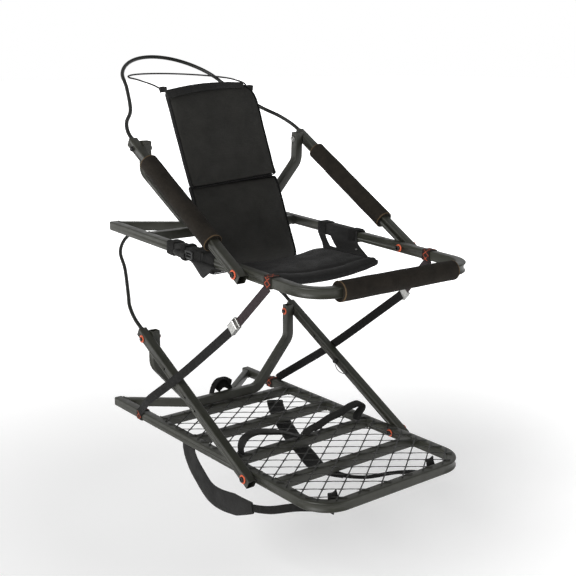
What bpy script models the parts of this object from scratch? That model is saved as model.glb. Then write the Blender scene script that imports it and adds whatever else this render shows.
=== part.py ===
"""Climbing tree stand: a foot platform and a seat section of square steel tube.

Each section is a bent U frame with a V bar that bites the trunk, two inclined arms, a hoop that
spaces the arms from the frame, and a coated steel cable round the back of the trunk.

Frame: +Z up the trunk, +Y towards the trunk, +X to the right as seen from the front. Parts are
named left and right as seen from the front too.
The origin is on the trunk's axis, level with the top of the platform's frame.
Section-local coordinates: x as in the frame, y back from the front bar, z up from the frame's top.
"""

import math

import bmesh
import bpy
from mathutils import Matrix, Vector

# ---------------------------------------------------------------- driving dimensions (metres)
TUBE = 0.0254
WALL = 0.0012
SIDE_GAP = 0.0016
TOUCH = 0.0003
BEND_RADIUS = 0.0723
BEND_STEPS = 7

TRUNK_Y = 0.990

V_WIDTH = 0.019

ARM_END_LOW = 0.022
ARM_END_HIGH = 0.027
BOLT_DROP = 0.004
HOOP_GAP = 0.0033
# each foot strap's arch over the deck, as x and height
FOOT_STRAPS = {
    "left": ((-0.2120, 0.0045), (-0.2120, 0.026), (-0.205, 0.044), (-0.188, 0.0525), (-0.160, 0.0530),
             (-0.130, 0.0485), (-0.100, 0.0405), (-0.070, 0.0300), (-0.045, 0.0190), (-0.026, 0.0100),
             (-0.014, 0.0062)),
    "right": ((0.0020, 0.0062), (0.014, 0.0120), (0.040, 0.0210), (0.075, 0.0300), (0.110, 0.0380),
              (0.145, 0.0460), (0.178, 0.0530), (0.202, 0.0560), (0.2140, 0.0490), (0.2130, 0.0350),
              (0.2030, 0.0240), (0.1950, 0.0130), (0.1940, 0.0045)),
}
CABLE_LIFT = 0.006
CABLE_RADIUS = 0.0055
CABLE_CORE = 0.0038
BUNGEE_LOOP = 0.1610
# radius and centre of each cable's loop, then how far it moves in and on as it leaves the arm
CABLE_LOOPS = {"platform": (0.190, 0.985), "seat": (0.178, 0.962)}
CABLE_LEAVES = {"platform": ((0.001, 0.042), (0.012, 0.090), (0.034, 0.136)),
                "seat": ((0.005, 0.035), (0.024, 0.075), (0.066, 0.128))}

FOAM_RADIUS = 0.0254
FOAM_HOLE = TUBE / 2 + TOUCH

WEBBING = 0.025
WEBBING_THICK = 0.0016

SEAT_TILT = math.radians(2.45)
SEAT_FRONT_Y = 0.012
SEAT_HEIGHT = 0.516


class Section:
    """Sizes of one climbing section, in its own local coordinates."""

    def __init__(self, prefix, half, depth, rear_bar_y, v_slope, pivot_y, top_y, top_z,
                 hoop_corner_x, hoop_corner_z):
        self.prefix = prefix
        self.half = half
        self.depth = depth
        self.rear_bar_y = rear_bar_y
        self.v_slope = v_slope
        self.pivot = Vector((0.0, pivot_y, -TUBE / 2))
        self.top = Vector((0.0, top_y, top_z))
        self.hoop_corner_x = hoop_corner_x
        self.hoop_corner_z = hoop_corner_z
        span = self.top - self.pivot
        self.arm_length = span.length
        self.arm_dir = span.normalized()
        self.arm_up = Vector((0.0, -self.arm_dir.z, self.arm_dir.y))
        self.arm_x = half + SIDE_GAP + TUBE / 2
        self.hoop_x = half - TUBE / 2 + SIDE_GAP / 2
        self.hoop_bolt = self.top - self.arm_up * BOLT_DROP
        fold_side = -1 if prefix == "platform" else 1
        self.hoop_hinge = Vector((0.0, top_y + fold_side * TUBE / 2, HOOP_GAP))


PLATFORM = Section("platform", 0.254, 0.988, 0.745, 0.852, 0.2736, 0.7556, 0.2468, 0.117, 0.160)
SEAT = Section("seat", 0.2737, 0.924, 0.733, 0.610, 0.2641, 0.7355, 0.2358, 0.131, 0.168)


# ---------------------------------------------------------------- places
def on_platform(x, y, z):
    """Platform-local coordinates to the part's frame."""
    return Vector((x, y - TRUNK_Y, z))


def on_seat(x, y, z):
    """Seat-local coordinates to the part's frame: the seat section sits tilted up at the rear."""
    cos_t = math.cos(SEAT_TILT)
    sin_t = math.sin(SEAT_TILT)
    return Vector((x, SEAT_FRONT_Y + y * cos_t - z * sin_t - TRUNK_Y,
                   SEAT_HEIGHT + y * sin_t + z * cos_t))


# ---------------------------------------------------------------- scene and materials
def clear_scene():
    for obj in list(bpy.data.objects):
        bpy.data.objects.remove(obj, do_unlink=True)


def make_material(name, color, roughness, metallic=0.0):
    mat = bpy.data.materials.new(name)
    mat.use_nodes = True
    shader = mat.node_tree.nodes["Principled BSDF"]
    shader.inputs["Base Color"].default_value = (*color, 1.0)
    shader.inputs["Roughness"].default_value = roughness
    shader.inputs["Metallic"].default_value = metallic
    return mat


def make_materials():
    return {
        "steel": make_material("powder_coated_steel", (0.085, 0.085, 0.075), 0.45, 0.3),
        "mesh": make_material("coated_expanded_steel", (0.05, 0.05, 0.045), 0.5, 0.3),
        "cable": make_material("cable_rubber", (0.02, 0.021, 0.02), 0.5),
        "foam": make_material("grip_foam", (0.03, 0.024, 0.02), 0.9),
        "washer": make_material("orange_nylon", (0.72, 0.12, 0.04), 0.45),
        "zinc": make_material("zinc_steel", (0.45, 0.45, 0.44), 0.35, 0.9),
        "webbing": make_material("black_webbing", (0.012, 0.012, 0.013), 0.8),
        "patterned": make_material("patterned_webbing", (0.09, 0.05, 0.045), 0.8),
        "rubber": make_material("strap_rubber", (0.025, 0.025, 0.024), 0.6),
        "fabric": make_material("pack_cloth", (0.03, 0.03, 0.029), 0.75),
        "bungee": make_material("bungee_cord", (0.02, 0.02, 0.02), 0.7),
    }


def finish_object(name, bm, mat, origin=None, smooth=False):
    """Turn a bmesh in frame coordinates into an object whose origin sits at the given point."""
    bmesh.ops.recalc_face_normals(bm, faces=bm.faces)
    centre = Vector(origin) if origin is not None else Vector((0.0, 0.0, 0.0))
    bmesh.ops.translate(bm, verts=bm.verts, vec=-centre)
    mesh = bpy.data.meshes.new(name)
    bm.to_mesh(mesh)
    bm.free()
    mesh.materials.append(mat)
    if smooth:
        mesh.shade_smooth()
        mesh.set_sharp_from_angle(angle=math.radians(35))
    obj = bpy.data.objects.new(name, mesh)
    obj.location = centre
    bpy.context.scene.collection.objects.link(obj)
    return obj


def carve(obj, cutters):
    """Cut closed cutter objects out of an object with exact Booleans, and drop the cutters."""
    for index, cutter in enumerate(cutters):
        modifier = obj.modifiers.new(f"cut_{index}", "BOOLEAN")
        modifier.operation = "DIFFERENCE"
        modifier.solver = "EXACT"
        modifier.object = cutter
    graph = bpy.context.evaluated_depsgraph_get()
    graph.update()
    cut_mesh = bpy.data.meshes.new_from_object(obj.evaluated_get(graph))
    obj.modifiers.clear()
    obj.data = cut_mesh
    for cutter in cutters:
        bpy.data.objects.remove(cutter, do_unlink=True)
    return obj


# ---------------------------------------------------------------- shape helpers
def fillet_path(corners, radius, steps=BEND_STEPS):
    """Round the inner corners of a polyline with arcs of the given centreline radius."""
    points = [Vector(corners[0])]
    for before, corner, after in zip(corners, corners[1:], corners[2:]):
        before, corner, after = Vector(before), Vector(corner), Vector(after)
        to_prev = (before - corner).normalized()
        to_next = (after - corner).normalized()
        half_angle = to_prev.angle(to_next) / 2
        tangent = radius / math.tan(half_angle)
        start = corner + to_prev * tangent
        centre = corner + (to_prev + to_next).normalized() * (radius / math.sin(half_angle))
        axis = to_next.cross(to_prev).normalized()
        sweep = math.pi - 2 * half_angle
        for step in range(steps + 1):
            turn = Matrix.Rotation(sweep * step / steps, 3, axis)
            points.append(centre + turn @ (start - centre))
    points.append(Vector(corners[-1]))
    return points


def bridge_rings(bm, rings, closed=False):
    """Join rings of vertices, each with the same count, into a skin."""
    pairs = list(zip(rings, rings[1:]))
    if closed:
        pairs.append((rings[-1], rings[0]))
    for ring_a, ring_b in pairs:
        count = len(ring_a)
        for i in range(count):
            j = (i + 1) % count
            bm.faces.new((ring_a[i], ring_a[j], ring_b[j], ring_b[i]))


def square_tube(points, normal, width=TUBE, height=TUBE, wall=WALL, end_cuts=(None, None)):
    """Hollow rectangular tube along a planar path, mitred at each point, with open ends.

    normal is the path's plane normal, along the section's height. An end cut is the direction
    that the cut end face runs in, in the path's plane; None cuts it square.
    """
    bm = bmesh.new()
    normal = Vector(normal).normalized()
    outer_rings = []
    inner_rings = []
    last = len(points) - 1
    for index, point in enumerate(points):
        ahead = (points[min(index + 1, last)] - points[max(index, 0)]) if index < last else None
        behind = (points[index] - points[index - 1]) if index > 0 else None
        ahead = ahead.normalized() if ahead is not None else behind.normalized()
        behind = behind.normalized() if behind is not None else ahead
        side_a = normal.cross(ahead)
        side_b = normal.cross(behind)
        mitre = (side_a + side_b).normalized()
        if index == 0 and end_cuts[0] is not None:
            mitre = Vector(end_cuts[0]).normalized()
        if index == last and end_cuts[1] is not None:
            mitre = Vector(end_cuts[1]).normalized()
        stretch = 1.0 / mitre.dot(side_a)
        for rings, shrink in ((outer_rings, 0.0), (inner_rings, wall)):
            half_w = (width / 2 - shrink) * stretch
            half_h = height / 2 - shrink
            ring = []
            for sign_w, sign_h in ((-1, -1), (1, -1), (1, 1), (-1, 1)):
                ring.append(bm.verts.new(point + mitre * half_w * sign_w + normal * half_h * sign_h))
            rings.append(ring)
    bridge_rings(bm, outer_rings)
    bridge_rings(bm, [list(reversed(ring)) for ring in inner_rings])
    for end in (0, last):
        outer = outer_rings[end]
        inner = inner_rings[end]
        for i in range(4):
            j = (i + 1) % 4
            bm.faces.new((outer[i], outer[j], inner[j], inner[i]))
    return bm


def flat_band(points, widths, width_dirs, thickness, closed=False):
    """Flat strap: a rectangle of the given widths and thickness swept along a path."""
    bm = bmesh.new()
    rings = []
    count = len(points)
    for index, point in enumerate(points):
        if closed:
            along = points[(index + 1) % count] - points[index - 1]
        else:
            along = points[min(index + 1, count - 1)] - points[max(index - 1, 0)]
        width_dir = Vector(width_dirs[index])
        along = along.normalized()
        width_dir = (width_dir - along * width_dir.dot(along)).normalized()
        through = along.cross(width_dir).normalized()
        half_w = widths[index] / 2
        half_t = thickness / 2
        ring = []
        for sign_w, sign_t in ((-1, -1), (1, -1), (1, 1), (-1, 1)):
            ring.append(bm.verts.new(point + width_dir * half_w * sign_w + through * half_t * sign_t))
        rings.append(ring)
    bridge_rings(bm, rings, closed)
    if not closed:
        bm.faces.new(reversed(rings[0]))
        bm.faces.new(rings[-1])
    return bm


def turned(profile, segments, centre, axis, angle_offset=0.0):
    """Closed solid of revolution from (distance along axis, radius) pairs, capped at both ends."""
    bm = bmesh.new()
    axis = Vector(axis).normalized()
    side = Vector((0, 0, 1)) if abs(axis.z) < 0.9 else Vector((1, 0, 0))
    side = (side - axis * side.dot(axis)).normalized()
    other = axis.cross(side)
    rings = []
    for along, radius in profile:
        ring = []
        for i in range(segments):
            angle = 2 * math.pi * i / segments + angle_offset
            offset = side * math.cos(angle) * radius + other * math.sin(angle) * radius
            ring.append(bm.verts.new(Vector(centre) + axis * along + offset))
        rings.append(ring)
    bridge_rings(bm, rings)
    bm.faces.new(reversed(rings[0]))
    bm.faces.new(rings[-1])
    return bm


def cutter_rod(centre, axis, radius, length, segments=20):
    """Plain rod used only to cut a hole."""
    bm = turned([(-length / 2, radius), (length / 2, radius)], segments, centre, axis)
    bmesh.ops.recalc_face_normals(bm, faces=bm.faces)
    mesh = bpy.data.meshes.new("cutter")
    bm.to_mesh(mesh)
    bm.free()
    obj = bpy.data.objects.new("cutter", mesh)
    obj.hide_render = True
    obj.display_type = "WIRE"
    bpy.context.scene.collection.objects.link(obj)
    return obj


def box_mesh(bm, low, high, place=None):
    """Add an axis-aligned box between two corners, moved by an optional placing function."""
    place = place or (lambda x, y, z: Vector((x, y, z)))
    corners = [bm.verts.new(place(x, y, z))
               for z in (low[2], high[2]) for y in (low[1], high[1]) for x in (low[0], high[0])]
    for quad in ((0, 2, 3, 1), (4, 5, 7, 6), (0, 1, 5, 4), (2, 6, 7, 3), (0, 4, 6, 2), (1, 3, 7, 5)):
        bm.faces.new([corners[i] for i in quad])
    return bm


def smooth_route(points, count):
    """Points at even steps along a Catmull-Rom curve through a hand-placed route."""
    route = [Vector(p) for p in points]
    route = [route[0] * 2 - route[1]] + route + [route[-1] * 2 - route[-2]]
    dense = []
    for a, b, c, d in zip(route, route[1:], route[2:], route[3:]):
        for step in range(24):
            t = step / 24
            dense.append(0.5 * ((2 * b) + (c - a) * t + (2 * a - 5 * b + 4 * c - d) * t * t
                                + (3 * b - a - 3 * c + d) * t ** 3))
    dense.append(route[-2])
    lengths = [0.0]
    for a, b in zip(dense, dense[1:]):
        lengths.append(lengths[-1] + (b - a).length)
    result = []
    at = 0
    for step in range(count):
        target = lengths[-1] * step / (count - 1)
        while at < len(lengths) - 2 and lengths[at + 1] < target:
            at += 1
        span = lengths[at + 1] - lengths[at]
        t = (target - lengths[at]) / span if span else 0.0
        result.append(dense[at].lerp(dense[at + 1], t))
    return result


def round_rod(points, radius, segments, scales=None):
    """Solid round rod swept along a path without twisting, capped at both ends."""
    bm = bmesh.new()
    last = len(points) - 1
    tangents = [(points[min(i + 1, last)] - points[max(i - 1, 0)]).normalized() for i in range(last + 1)]
    side = tangents[0].orthogonal().normalized()
    rings = []
    for i, point in enumerate(points):
        if i > 0:
            side = tangents[i - 1].rotation_difference(tangents[i]) @ side
        side = (side - tangents[i] * side.dot(tangents[i])).normalized()
        other = tangents[i].cross(side)
        reach = radius * (scales[i] if scales else 1.0)
        ring = []
        for step in range(segments):
            angle = 2 * math.pi * step / segments
            ring.append(bm.verts.new(point + (side * math.cos(angle) + other * math.sin(angle)) * reach))
        rings.append(ring)
    bridge_rings(bm, rings)
    bm.faces.new(reversed(rings[0]))
    bm.faces.new(rings[-1])
    return bm


def cord_object(name, points, radius, mat):
    """Round cord as a curve with a bevel and filled caps."""
    curve = bpy.data.curves.new(name, "CURVE")
    curve.dimensions = "3D"
    curve.bevel_depth = radius
    curve.bevel_resolution = 2
    curve.use_fill_caps = True
    spline = curve.splines.new("POLY")
    spline.points.add(len(points) - 1)
    for index, point in enumerate(points):
        spline.points[index].co = (*point, 1.0)
    curve.materials.append(mat)
    obj = bpy.data.objects.new(name, curve)
    bpy.context.scene.collection.objects.link(obj)
    return obj


# ---------------------------------------------------------------- frames
def build_u_frame(sec, place, mat, normal):
    """Front bar, two wide bends and the side rails, bent from one tube, drilled for the arms."""
    side = sec.half - TUBE / 2
    front = TUBE / 2
    corners = [(-side, sec.depth), (-side, front), (side, front), (side, sec.depth)]
    flat = fillet_path([(x, y, -TUBE / 2) for x, y in corners], BEND_RADIUS)
    bm = square_tube([place(*p) for p in flat], normal)
    frame = finish_object(f"{sec.prefix}_frame", bm, mat)
    rod = cutter_rod(place(0, sec.pivot.y, sec.pivot.z), (1, 0, 0), 0.0043, 2 * sec.half + 0.1)
    return carve(frame, [rod])


def build_v_bar(sec, place, mat, normal):
    """Bar from one rail tip forward to a vertex on the rear bar and back; it bears on the trunk."""
    inner_y = sec.rear_bar_y + TUBE / 2 + TOUCH + V_WIDTH / 2 * math.sqrt(1 + sec.v_slope ** 2)
    outer_x = sec.half - TUBE - TOUCH
    outer_y = inner_y + outer_x * sec.v_slope
    corners = [(-outer_x, outer_y), (0.0, inner_y), (outer_x, outer_y)]
    points = [place(x, y, -TUBE / 2) for x, y in corners]
    back = place(0, 1, 0) - place(0, 0, 0)
    bm = square_tube(points, normal, width=V_WIDTH, end_cuts=(back, back))
    finish_object(f"{sec.prefix}_v_bar", bm, mat)


def build_cross_bar(name, sec, y, place, mat, normal):
    reach = sec.half - TUBE - TOUCH
    points = [place(-reach, y, -TUBE / 2), place(reach, y, -TUBE / 2)]
    return finish_object(name, square_tube(points, normal), mat)


# ---------------------------------------------------------------- arms, hoop, cable
def arm_point(sec, along, up=0.0, x=0.0):
    """Local point on an arm: distance from the lower bolt along the arm, and height above its axis."""
    p = sec.pivot + sec.arm_dir * along + sec.arm_up * up
    return (x, p.y, p.z)


def build_arms(sec, place, mat, origin, pin_holes=()):
    arms = []
    for side, sign in (("left", -1), ("right", 1)):
        x = sign * sec.arm_x
        points = [place(*arm_point(sec, -ARM_END_LOW, 0, x)),
                  place(*arm_point(sec, sec.arm_length + ARM_END_HIGH, 0, x))]
        bm = square_tube(points, (1, 0, 0))
        arm = finish_object(f"{sec.prefix}_arm_{side}", bm, mat, origin)
        cutters = [cutter_rod(place(*arm_point(sec, 0, 0, x)), (1, 0, 0), 0.0043, 0.04),
                   cutter_rod(place(*arm_point(sec, sec.arm_length, -BOLT_DROP, x)), (1, 0, 0),
                              0.0036, 0.04)]
        for along in pin_holes:
            cutters.append(cutter_rod(place(*arm_point(sec, along, 0, x)), (1, 0, 0), 0.0036, 0.04, 12))
        arms.append(carve(arm, cutters))
    return arms


def build_hoop(sec, place, mat, origin):
    """U-shaped hoop: straight legs, then slanting in to a bar that rests on the frame's rear bar."""
    y = sec.top.y
    base = TUBE / 2 + HOOP_GAP
    half_route = [(sec.hoop_x, sec.top.z + 0.016), (sec.hoop_x, sec.hoop_corner_z),
                  (sec.hoop_corner_x, base)]
    corners = [(-x, y, z) for x, z in half_route] + [(x, y, z) for x, z in reversed(half_route)]
    flat = fillet_path(corners, 0.04, 5)
    normal = place(0, 1, 0) - place(0, 0, 0)
    bm = square_tube([place(*p) for p in flat], normal)
    hoop = finish_object(f"{sec.prefix}_hoop", bm, mat, origin)
    rod = cutter_rod(place(0, sec.hoop_bolt.y, sec.hoop_bolt.z), (1, 0, 0), 0.0036, 2 * sec.half + 0.1)
    return carve(hoop, [rod])


def build_pivot_bolts(sec, place, mat):
    """Lower bolts, each with a nylon washer under its head and its nut, through arm and rail."""
    start = sec.half - TUBE - 0.0010
    end = sec.arm_x + TUBE / 2 + 0.0004
    profile = [(start - 0.0075, 0.0062), (start - 0.0016, 0.0062), (start - 0.0016, 0.0125),
               (start, 0.0125), (start, 0.0040), (end, 0.0040), (end, 0.0125), (end + 0.0016, 0.0125),
               (end + 0.0016, 0.0066), (end + 0.0058, 0.0056)]
    for side, sign in (("left", -1), ("right", 1)):
        centre = place(0, sec.pivot.y, sec.pivot.z)
        bm = turned(profile, 18, centre, (sign, 0, 0))
        finish_object(f"{sec.prefix}_pivot_bolt_{side}", bm, mat, centre, smooth=True)


def build_hoop_bolts(sec, place, mat, hoop_origin, arm_origin, washer_radius):
    """Upper bolts that lock the hoop's legs to the arms.

    Each is split between leg and arm, so that hoop and arms can fold on their own once it is out.
    """
    leg_in = sec.hoop_x - TUBE / 2 - 0.0004
    leg_out = sec.hoop_x + TUBE / 2 - 0.0004
    arm_in = sec.arm_x - TUBE / 2 + 0.0004
    arm_out = sec.arm_x + TUBE / 2 + 0.0004
    inner = [(leg_in - 0.0066, 0.0052), (leg_in - 0.0014, 0.0052), (leg_in - 0.0014, washer_radius),
             (leg_in, washer_radius), (leg_in, 0.0032), (leg_out, 0.0032)]
    outer = [(arm_in, 0.0032), (arm_out, 0.0032), (arm_out, washer_radius),
             (arm_out + 0.0014, washer_radius), (arm_out + 0.0014, 0.0055), (arm_out + 0.0050, 0.0046)]
    for side, sign in (("left", -1), ("right", 1)):
        centre = place(0, sec.hoop_bolt.y, sec.hoop_bolt.z)
        bm = turned(inner, 16, centre, (sign, 0, 0))
        finish_object(f"{sec.prefix}_hoop_nut_{side}", bm, mat, hoop_origin, smooth=True)
        bm = turned(outer, 16, centre, (sign, 0, 0))
        finish_object(f"{sec.prefix}_hoop_bolt_{side}", bm, mat, arm_origin, smooth=True)


def cable_route(sec):
    """Half of the cable's route in local coordinates: out of the arm, then round the trunk."""
    rise = sec.arm_dir.z / sec.arm_dir.y
    loop, trunk_y = CABLE_LOOPS[sec.prefix]
    exit_y = arm_point(sec, sec.arm_length + ARM_END_HIGH, CABLE_LIFT)[1]

    def lifted(x, y):
        base = arm_point(sec, 0.0, CABLE_LIFT)
        return (x, y, base[2] + (y - base[1]) * rise)

    inside = [lifted(sec.arm_x, arm_point(sec, sec.arm_length * f, CABLE_LIFT)[1])
              for f in (0.62, 0.78, 0.94)]
    free = [lifted(sec.arm_x, exit_y)]
    for inward, onward in CABLE_LEAVES[sec.prefix]:
        free.append(lifted(sec.arm_x - inward, exit_y + onward))
    round_trunk = []
    for degrees in (8, 30, 50, 70):
        angle = math.radians(degrees)
        round_trunk.append(lifted(loop * math.cos(angle), trunk_y + loop * math.sin(angle)))
    back = [lifted(0.0, trunk_y + loop)]
    return inside, free + round_trunk, back


def build_cable(sec, place, mat, origin):
    inside, outside, back = cable_route(sec)
    half = inside + outside
    route = half + back + [(-x, y, z) for x, y, z in reversed(half)]
    points = smooth_route([place(*p) for p in route], 56)
    exit_point = place(*arm_point(sec, sec.arm_length + ARM_END_HIGH, CABLE_LIFT, sec.arm_x))
    scales = []
    for point in points:
        x_in = abs(point.x) > sec.arm_x - 0.004
        scales.append(CABLE_CORE / CABLE_RADIUS if x_in and point.y < exit_point.y else 1.0)
    bm = round_rod(points, CABLE_RADIUS, 10, scales)
    finish_object(f"{sec.prefix}_cable", bm, mat, origin, smooth=True)


# ---------------------------------------------------------------- foam grips
def build_foam(name, start, end, up, mat, origin=None):
    """Round foam sleeve with a square hole, between two points on a tube's axis."""
    bm = bmesh.new()
    along = (end - start).normalized()
    up = Vector(up).normalized()
    side = along.cross(up).normalized()
    count = 24
    outer_rings = []
    inner_rings = []
    for point in (start, end):
        outer = []
        inner = []
        for i in range(count):
            angle = 2 * math.pi * i / count
            cos_a = math.cos(angle)
            sin_a = math.sin(angle)
            outer.append(bm.verts.new(point + (side * cos_a + up * sin_a) * FOAM_RADIUS))
            reach = FOAM_HOLE / max(abs(cos_a), abs(sin_a))
            inner.append(bm.verts.new(point + (side * cos_a + up * sin_a) * reach))
        outer_rings.append(outer)
        inner_rings.append(inner)
    bridge_rings(bm, outer_rings)
    bridge_rings(bm, [list(reversed(ring)) for ring in inner_rings])
    for outer, inner in zip(outer_rings, inner_rings):
        for i in range(count):
            j = (i + 1) % count
            bm.faces.new((outer[i], outer[j], inner[j], inner[i]))
    return finish_object(name, bm, mat, origin, smooth=True)


# ---------------------------------------------------------------- platform details
MESH_LONG = 0.0725
MESH_SHORT = 0.0560
MESH_STRAND = 0.0034
MESH_THICK = 0.0020


def build_mesh(mat):
    """Expanded-metal deck: diamonds with their long way across the platform."""
    low_x, high_x = -0.2430, 0.2430
    low_y, high_y = 0.0120, 0.7380
    bm = bmesh.new()
    half_l = MESH_LONG / 2
    half_s = MESH_SHORT / 2
    grid = {}

    def corner(i, j):
        if (i, j) not in grid:
            grid[(i, j)] = bm.verts.new((i * half_l, low_y + (j + 0.5) * half_s, 0.0))
        return grid[(i, j)]

    columns = int(high_x / half_l) + 2
    rows = int((high_y - low_y) / half_s) + 2
    for i in range(-columns, columns + 1):
        for j in range(-1, rows + 1):
            if (i + j) % 2 == 0:
                bm.faces.new((corner(i - 1, j), corner(i, j - 1), corner(i + 1, j), corner(i, j + 1)))
    cells = bm.faces[:]
    bmesh.ops.recalc_face_normals(bm, faces=cells)
    bmesh.ops.inset_individual(bm, faces=cells, thickness=MESH_STRAND / 2)
    bmesh.ops.delete(bm, geom=cells, context="FACES_ONLY")
    planes = [((low_x, 0, 0), (-1, 0, 0)), ((high_x, 0, 0), (1, 0, 0)),
              ((0, low_y, 0), (0, -1, 0)), ((0, high_y, 0), (0, 1, 0))]
    bend = TUBE / 2 + BEND_RADIUS
    for degrees in (20, 45, 70):
        cos_a = math.cos(math.radians(degrees))
        sin_a = math.sin(math.radians(degrees))
        for sign in (-1, 1):
            point = (sign * (PLATFORM.half - bend + 0.075 * sin_a), bend - 0.075 * cos_a, 0)
            planes.append((point, (sign * sin_a, -cos_a, 0)))
    for point, direction in planes:
        bmesh.ops.bisect_plane(bm, geom=bm.verts[:] + bm.edges[:] + bm.faces[:], plane_co=point,
                               plane_no=direction, clear_outer=True, dist=1e-6)
    keep_largest_island(bm)
    result = bmesh.ops.extrude_face_region(bm, geom=bm.faces[:])
    top = [v for v in result["geom"] if isinstance(v, bmesh.types.BMVert)]
    bmesh.ops.translate(bm, verts=top, vec=(0, 0, MESH_THICK))
    bmesh.ops.translate(bm, verts=bm.verts, vec=on_platform(0, 0, TOUCH))
    finish_object("platform_mesh", bm, mat)


def keep_largest_island(bm):
    """Drop loose scraps, so that one connected sheet is left."""
    unseen = set(bm.faces)
    islands = []
    while unseen:
        stack = [unseen.pop()]
        island = set(stack)
        while stack:
            face = stack.pop()
            for edge in face.edges:
                for other in edge.link_faces:
                    if other in unseen:
                        unseen.remove(other)
                        island.add(other)
                        stack.append(other)
        islands.append(island)
    islands.sort(key=len, reverse=True)
    scraps = [face for island in islands[1:] for face in island]
    if scraps:
        bmesh.ops.delete(bm, geom=scraps, context="FACES")


def build_foot_straps(mat):
    """Two rubber straps, each an arch over the deck for one boot."""
    for side, profile in FOOT_STRAPS.items():
        points = smooth_route([on_platform(x, 0.376, z) for x, z in profile], 24)
        bm = flat_band(points, [0.026] * 24, [(0, 1, 0)] * 24, 0.0030)
        finish_object(f"foot_strap_{side}", bm, mat)


def build_shoulder_straps(mat):
    """Pack straps: one hangs below the left rail, the other lies slack under the deck."""
    left = [(-0.2413, 0.586, -0.0320), (-0.2413, 0.586, -0.052), (-0.2450, 0.562, -0.078),
            (-0.2460, 0.522, -0.103),
            (-0.2470, 0.475, -0.122), (-0.2460, 0.425, -0.134), (-0.2440, 0.360, -0.132),
            (-0.2400, 0.290, -0.115), (-0.2330, 0.205, -0.083), (-0.2140, 0.120, -0.052),
            (-0.1860, 0.060, -0.0430), (-0.1800, 0.040, -0.0420)]
    points = smooth_route([on_platform(*p) for p in left], 26)
    widths = [0.060 if i < 11 else max(0.022, 0.060 - 0.0095 * (i - 10)) for i in range(26)]
    across = []
    for i in range(26):
        along = points[min(i + 1, 25)] - points[max(i - 1, 0)]
        across.append(Vector((1, 0, 0)).cross(along))
    bm = flat_band(points, widths, across, 0.006)
    finish_object("shoulder_strap_left", bm, mat)

    right = [(0.168, 0.728, -0.0310), (0.150, 0.700, -0.0350), (0.105, 0.620, -0.0380),
             (0.060, 0.530, -0.0360), (0.020, 0.440, -0.0380), (-0.015, 0.350, -0.0360),
             (-0.042, 0.270, -0.0390), (-0.040, 0.190, -0.0360), (0.005, 0.135, -0.0370),
             (0.075, 0.105, -0.0340), (0.122, 0.070, -0.0310), (0.140, 0.014, -0.0290)]
    points = smooth_route([on_platform(*p) for p in right], 30)
    widths = [0.050 if i < 19 else max(0.022, 0.050 - 0.007 * (i - 18)) for i in range(30)]
    across = []
    for i in range(30):
        along = points[min(i + 1, 29)] - points[max(i - 1, 0)]
        across.append(Vector((0, 0, 1)).cross(along))
    bm = flat_band(points, widths, across, 0.006)
    finish_object("shoulder_strap_right", bm, mat)


def build_carry_handle(mat):
    """Short webbing grip arched over the V bars at the rear."""
    points = []
    for step in range(11):
        angle = math.pi * step / 10
        points.append(on_platform(0.003 - 0.037 * math.cos(angle), 0.784,
                                  0.0012 + 0.060 * math.sin(angle)))
    bm = flat_band(points, [0.022] * 11, [(0, 1, 0)] * 11, 0.0030)
    finish_object("carry_handle", bm, mat)


def build_locking_pin(steel, wire):
    """Hitch pin through the right arm, with a folded-wire pull and a lanyard to the arm."""
    sec = PLATFORM
    along = 0.300
    centre = on_platform(*arm_point(sec, along, 0, sec.arm_x))
    inner = -TUBE / 2
    profile = [(inner - 0.0100, 0.0060), (inner - 0.0030, 0.0072), (inner - 0.0006, 0.0072),
               (inner - 0.0006, 0.0031), (-inner + 0.0070, 0.0031), (-inner + 0.0090, 0.0020)]
    finish_object("platform_pin", turned(profile, 16, centre, (1, 0, 0)), steel, centre, smooth=True)
    start = Vector((inner - 0.0065, -0.0010, -0.0086))
    route = [start, start + Vector((-0.001, -0.014, -0.016)), start + Vector((0.001, -0.036, -0.022)),
             start + Vector((0.0030, -0.056, -0.016))]
    points = smooth_route([centre + p for p in route], 14)
    finish_object("pin_wire", round_rod(points, 0.0011, 8), wire, centre, smooth=True)


# ---------------------------------------------------------------- tethers between the sections
TETHER_X = PLATFORM.arm_x + TUBE / 2 + 0.0030
TETHER_SEAT_Y = 0.163
TETHER_RAIL_Y = 0.836
BUCKLE_Y = 0.292
BUCKLE_Z = 0.382


def rail_ring(place, sec, sign, y, width, clearance=0.0014):
    """Webbing loop round a side rail."""
    low_x = sec.half - TUBE - clearance
    high_x = sec.half + clearance
    corners = [(high_x, clearance), (low_x, clearance), (low_x, -TUBE - clearance),
               (high_x, -TUBE - clearance)]
    points = []
    for index, (x, z) in enumerate(corners):
        for dx, dz in (((0.0, -0.001), (-0.001, 0.0)), ((0.001, 0.0), (0.0, -0.001)),
                       ((0.0, 0.001), (0.001, 0.0)), ((-0.001, 0.0), (0.0, 0.001)))[index]:
            points.append(place(sign * (x + dx), y, z + dz))
    across = place(0, 1, 0) - place(0, 0, 0)
    return flat_band(points, [width] * 8, [across] * 8, WEBBING_THICK, closed=True)


def strap_in_side_plane(points, width, thickness=WEBBING_THICK):
    """Strap whose flat sides face left and right."""
    across = []
    last = len(points) - 1
    for i in range(len(points)):
        along = points[min(i + 1, last)] - points[max(i - 1, 0)]
        across.append(Vector((1, 0, 0)).cross(along))
    return flat_band(points, [width] * len(points), across, thickness)


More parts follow.
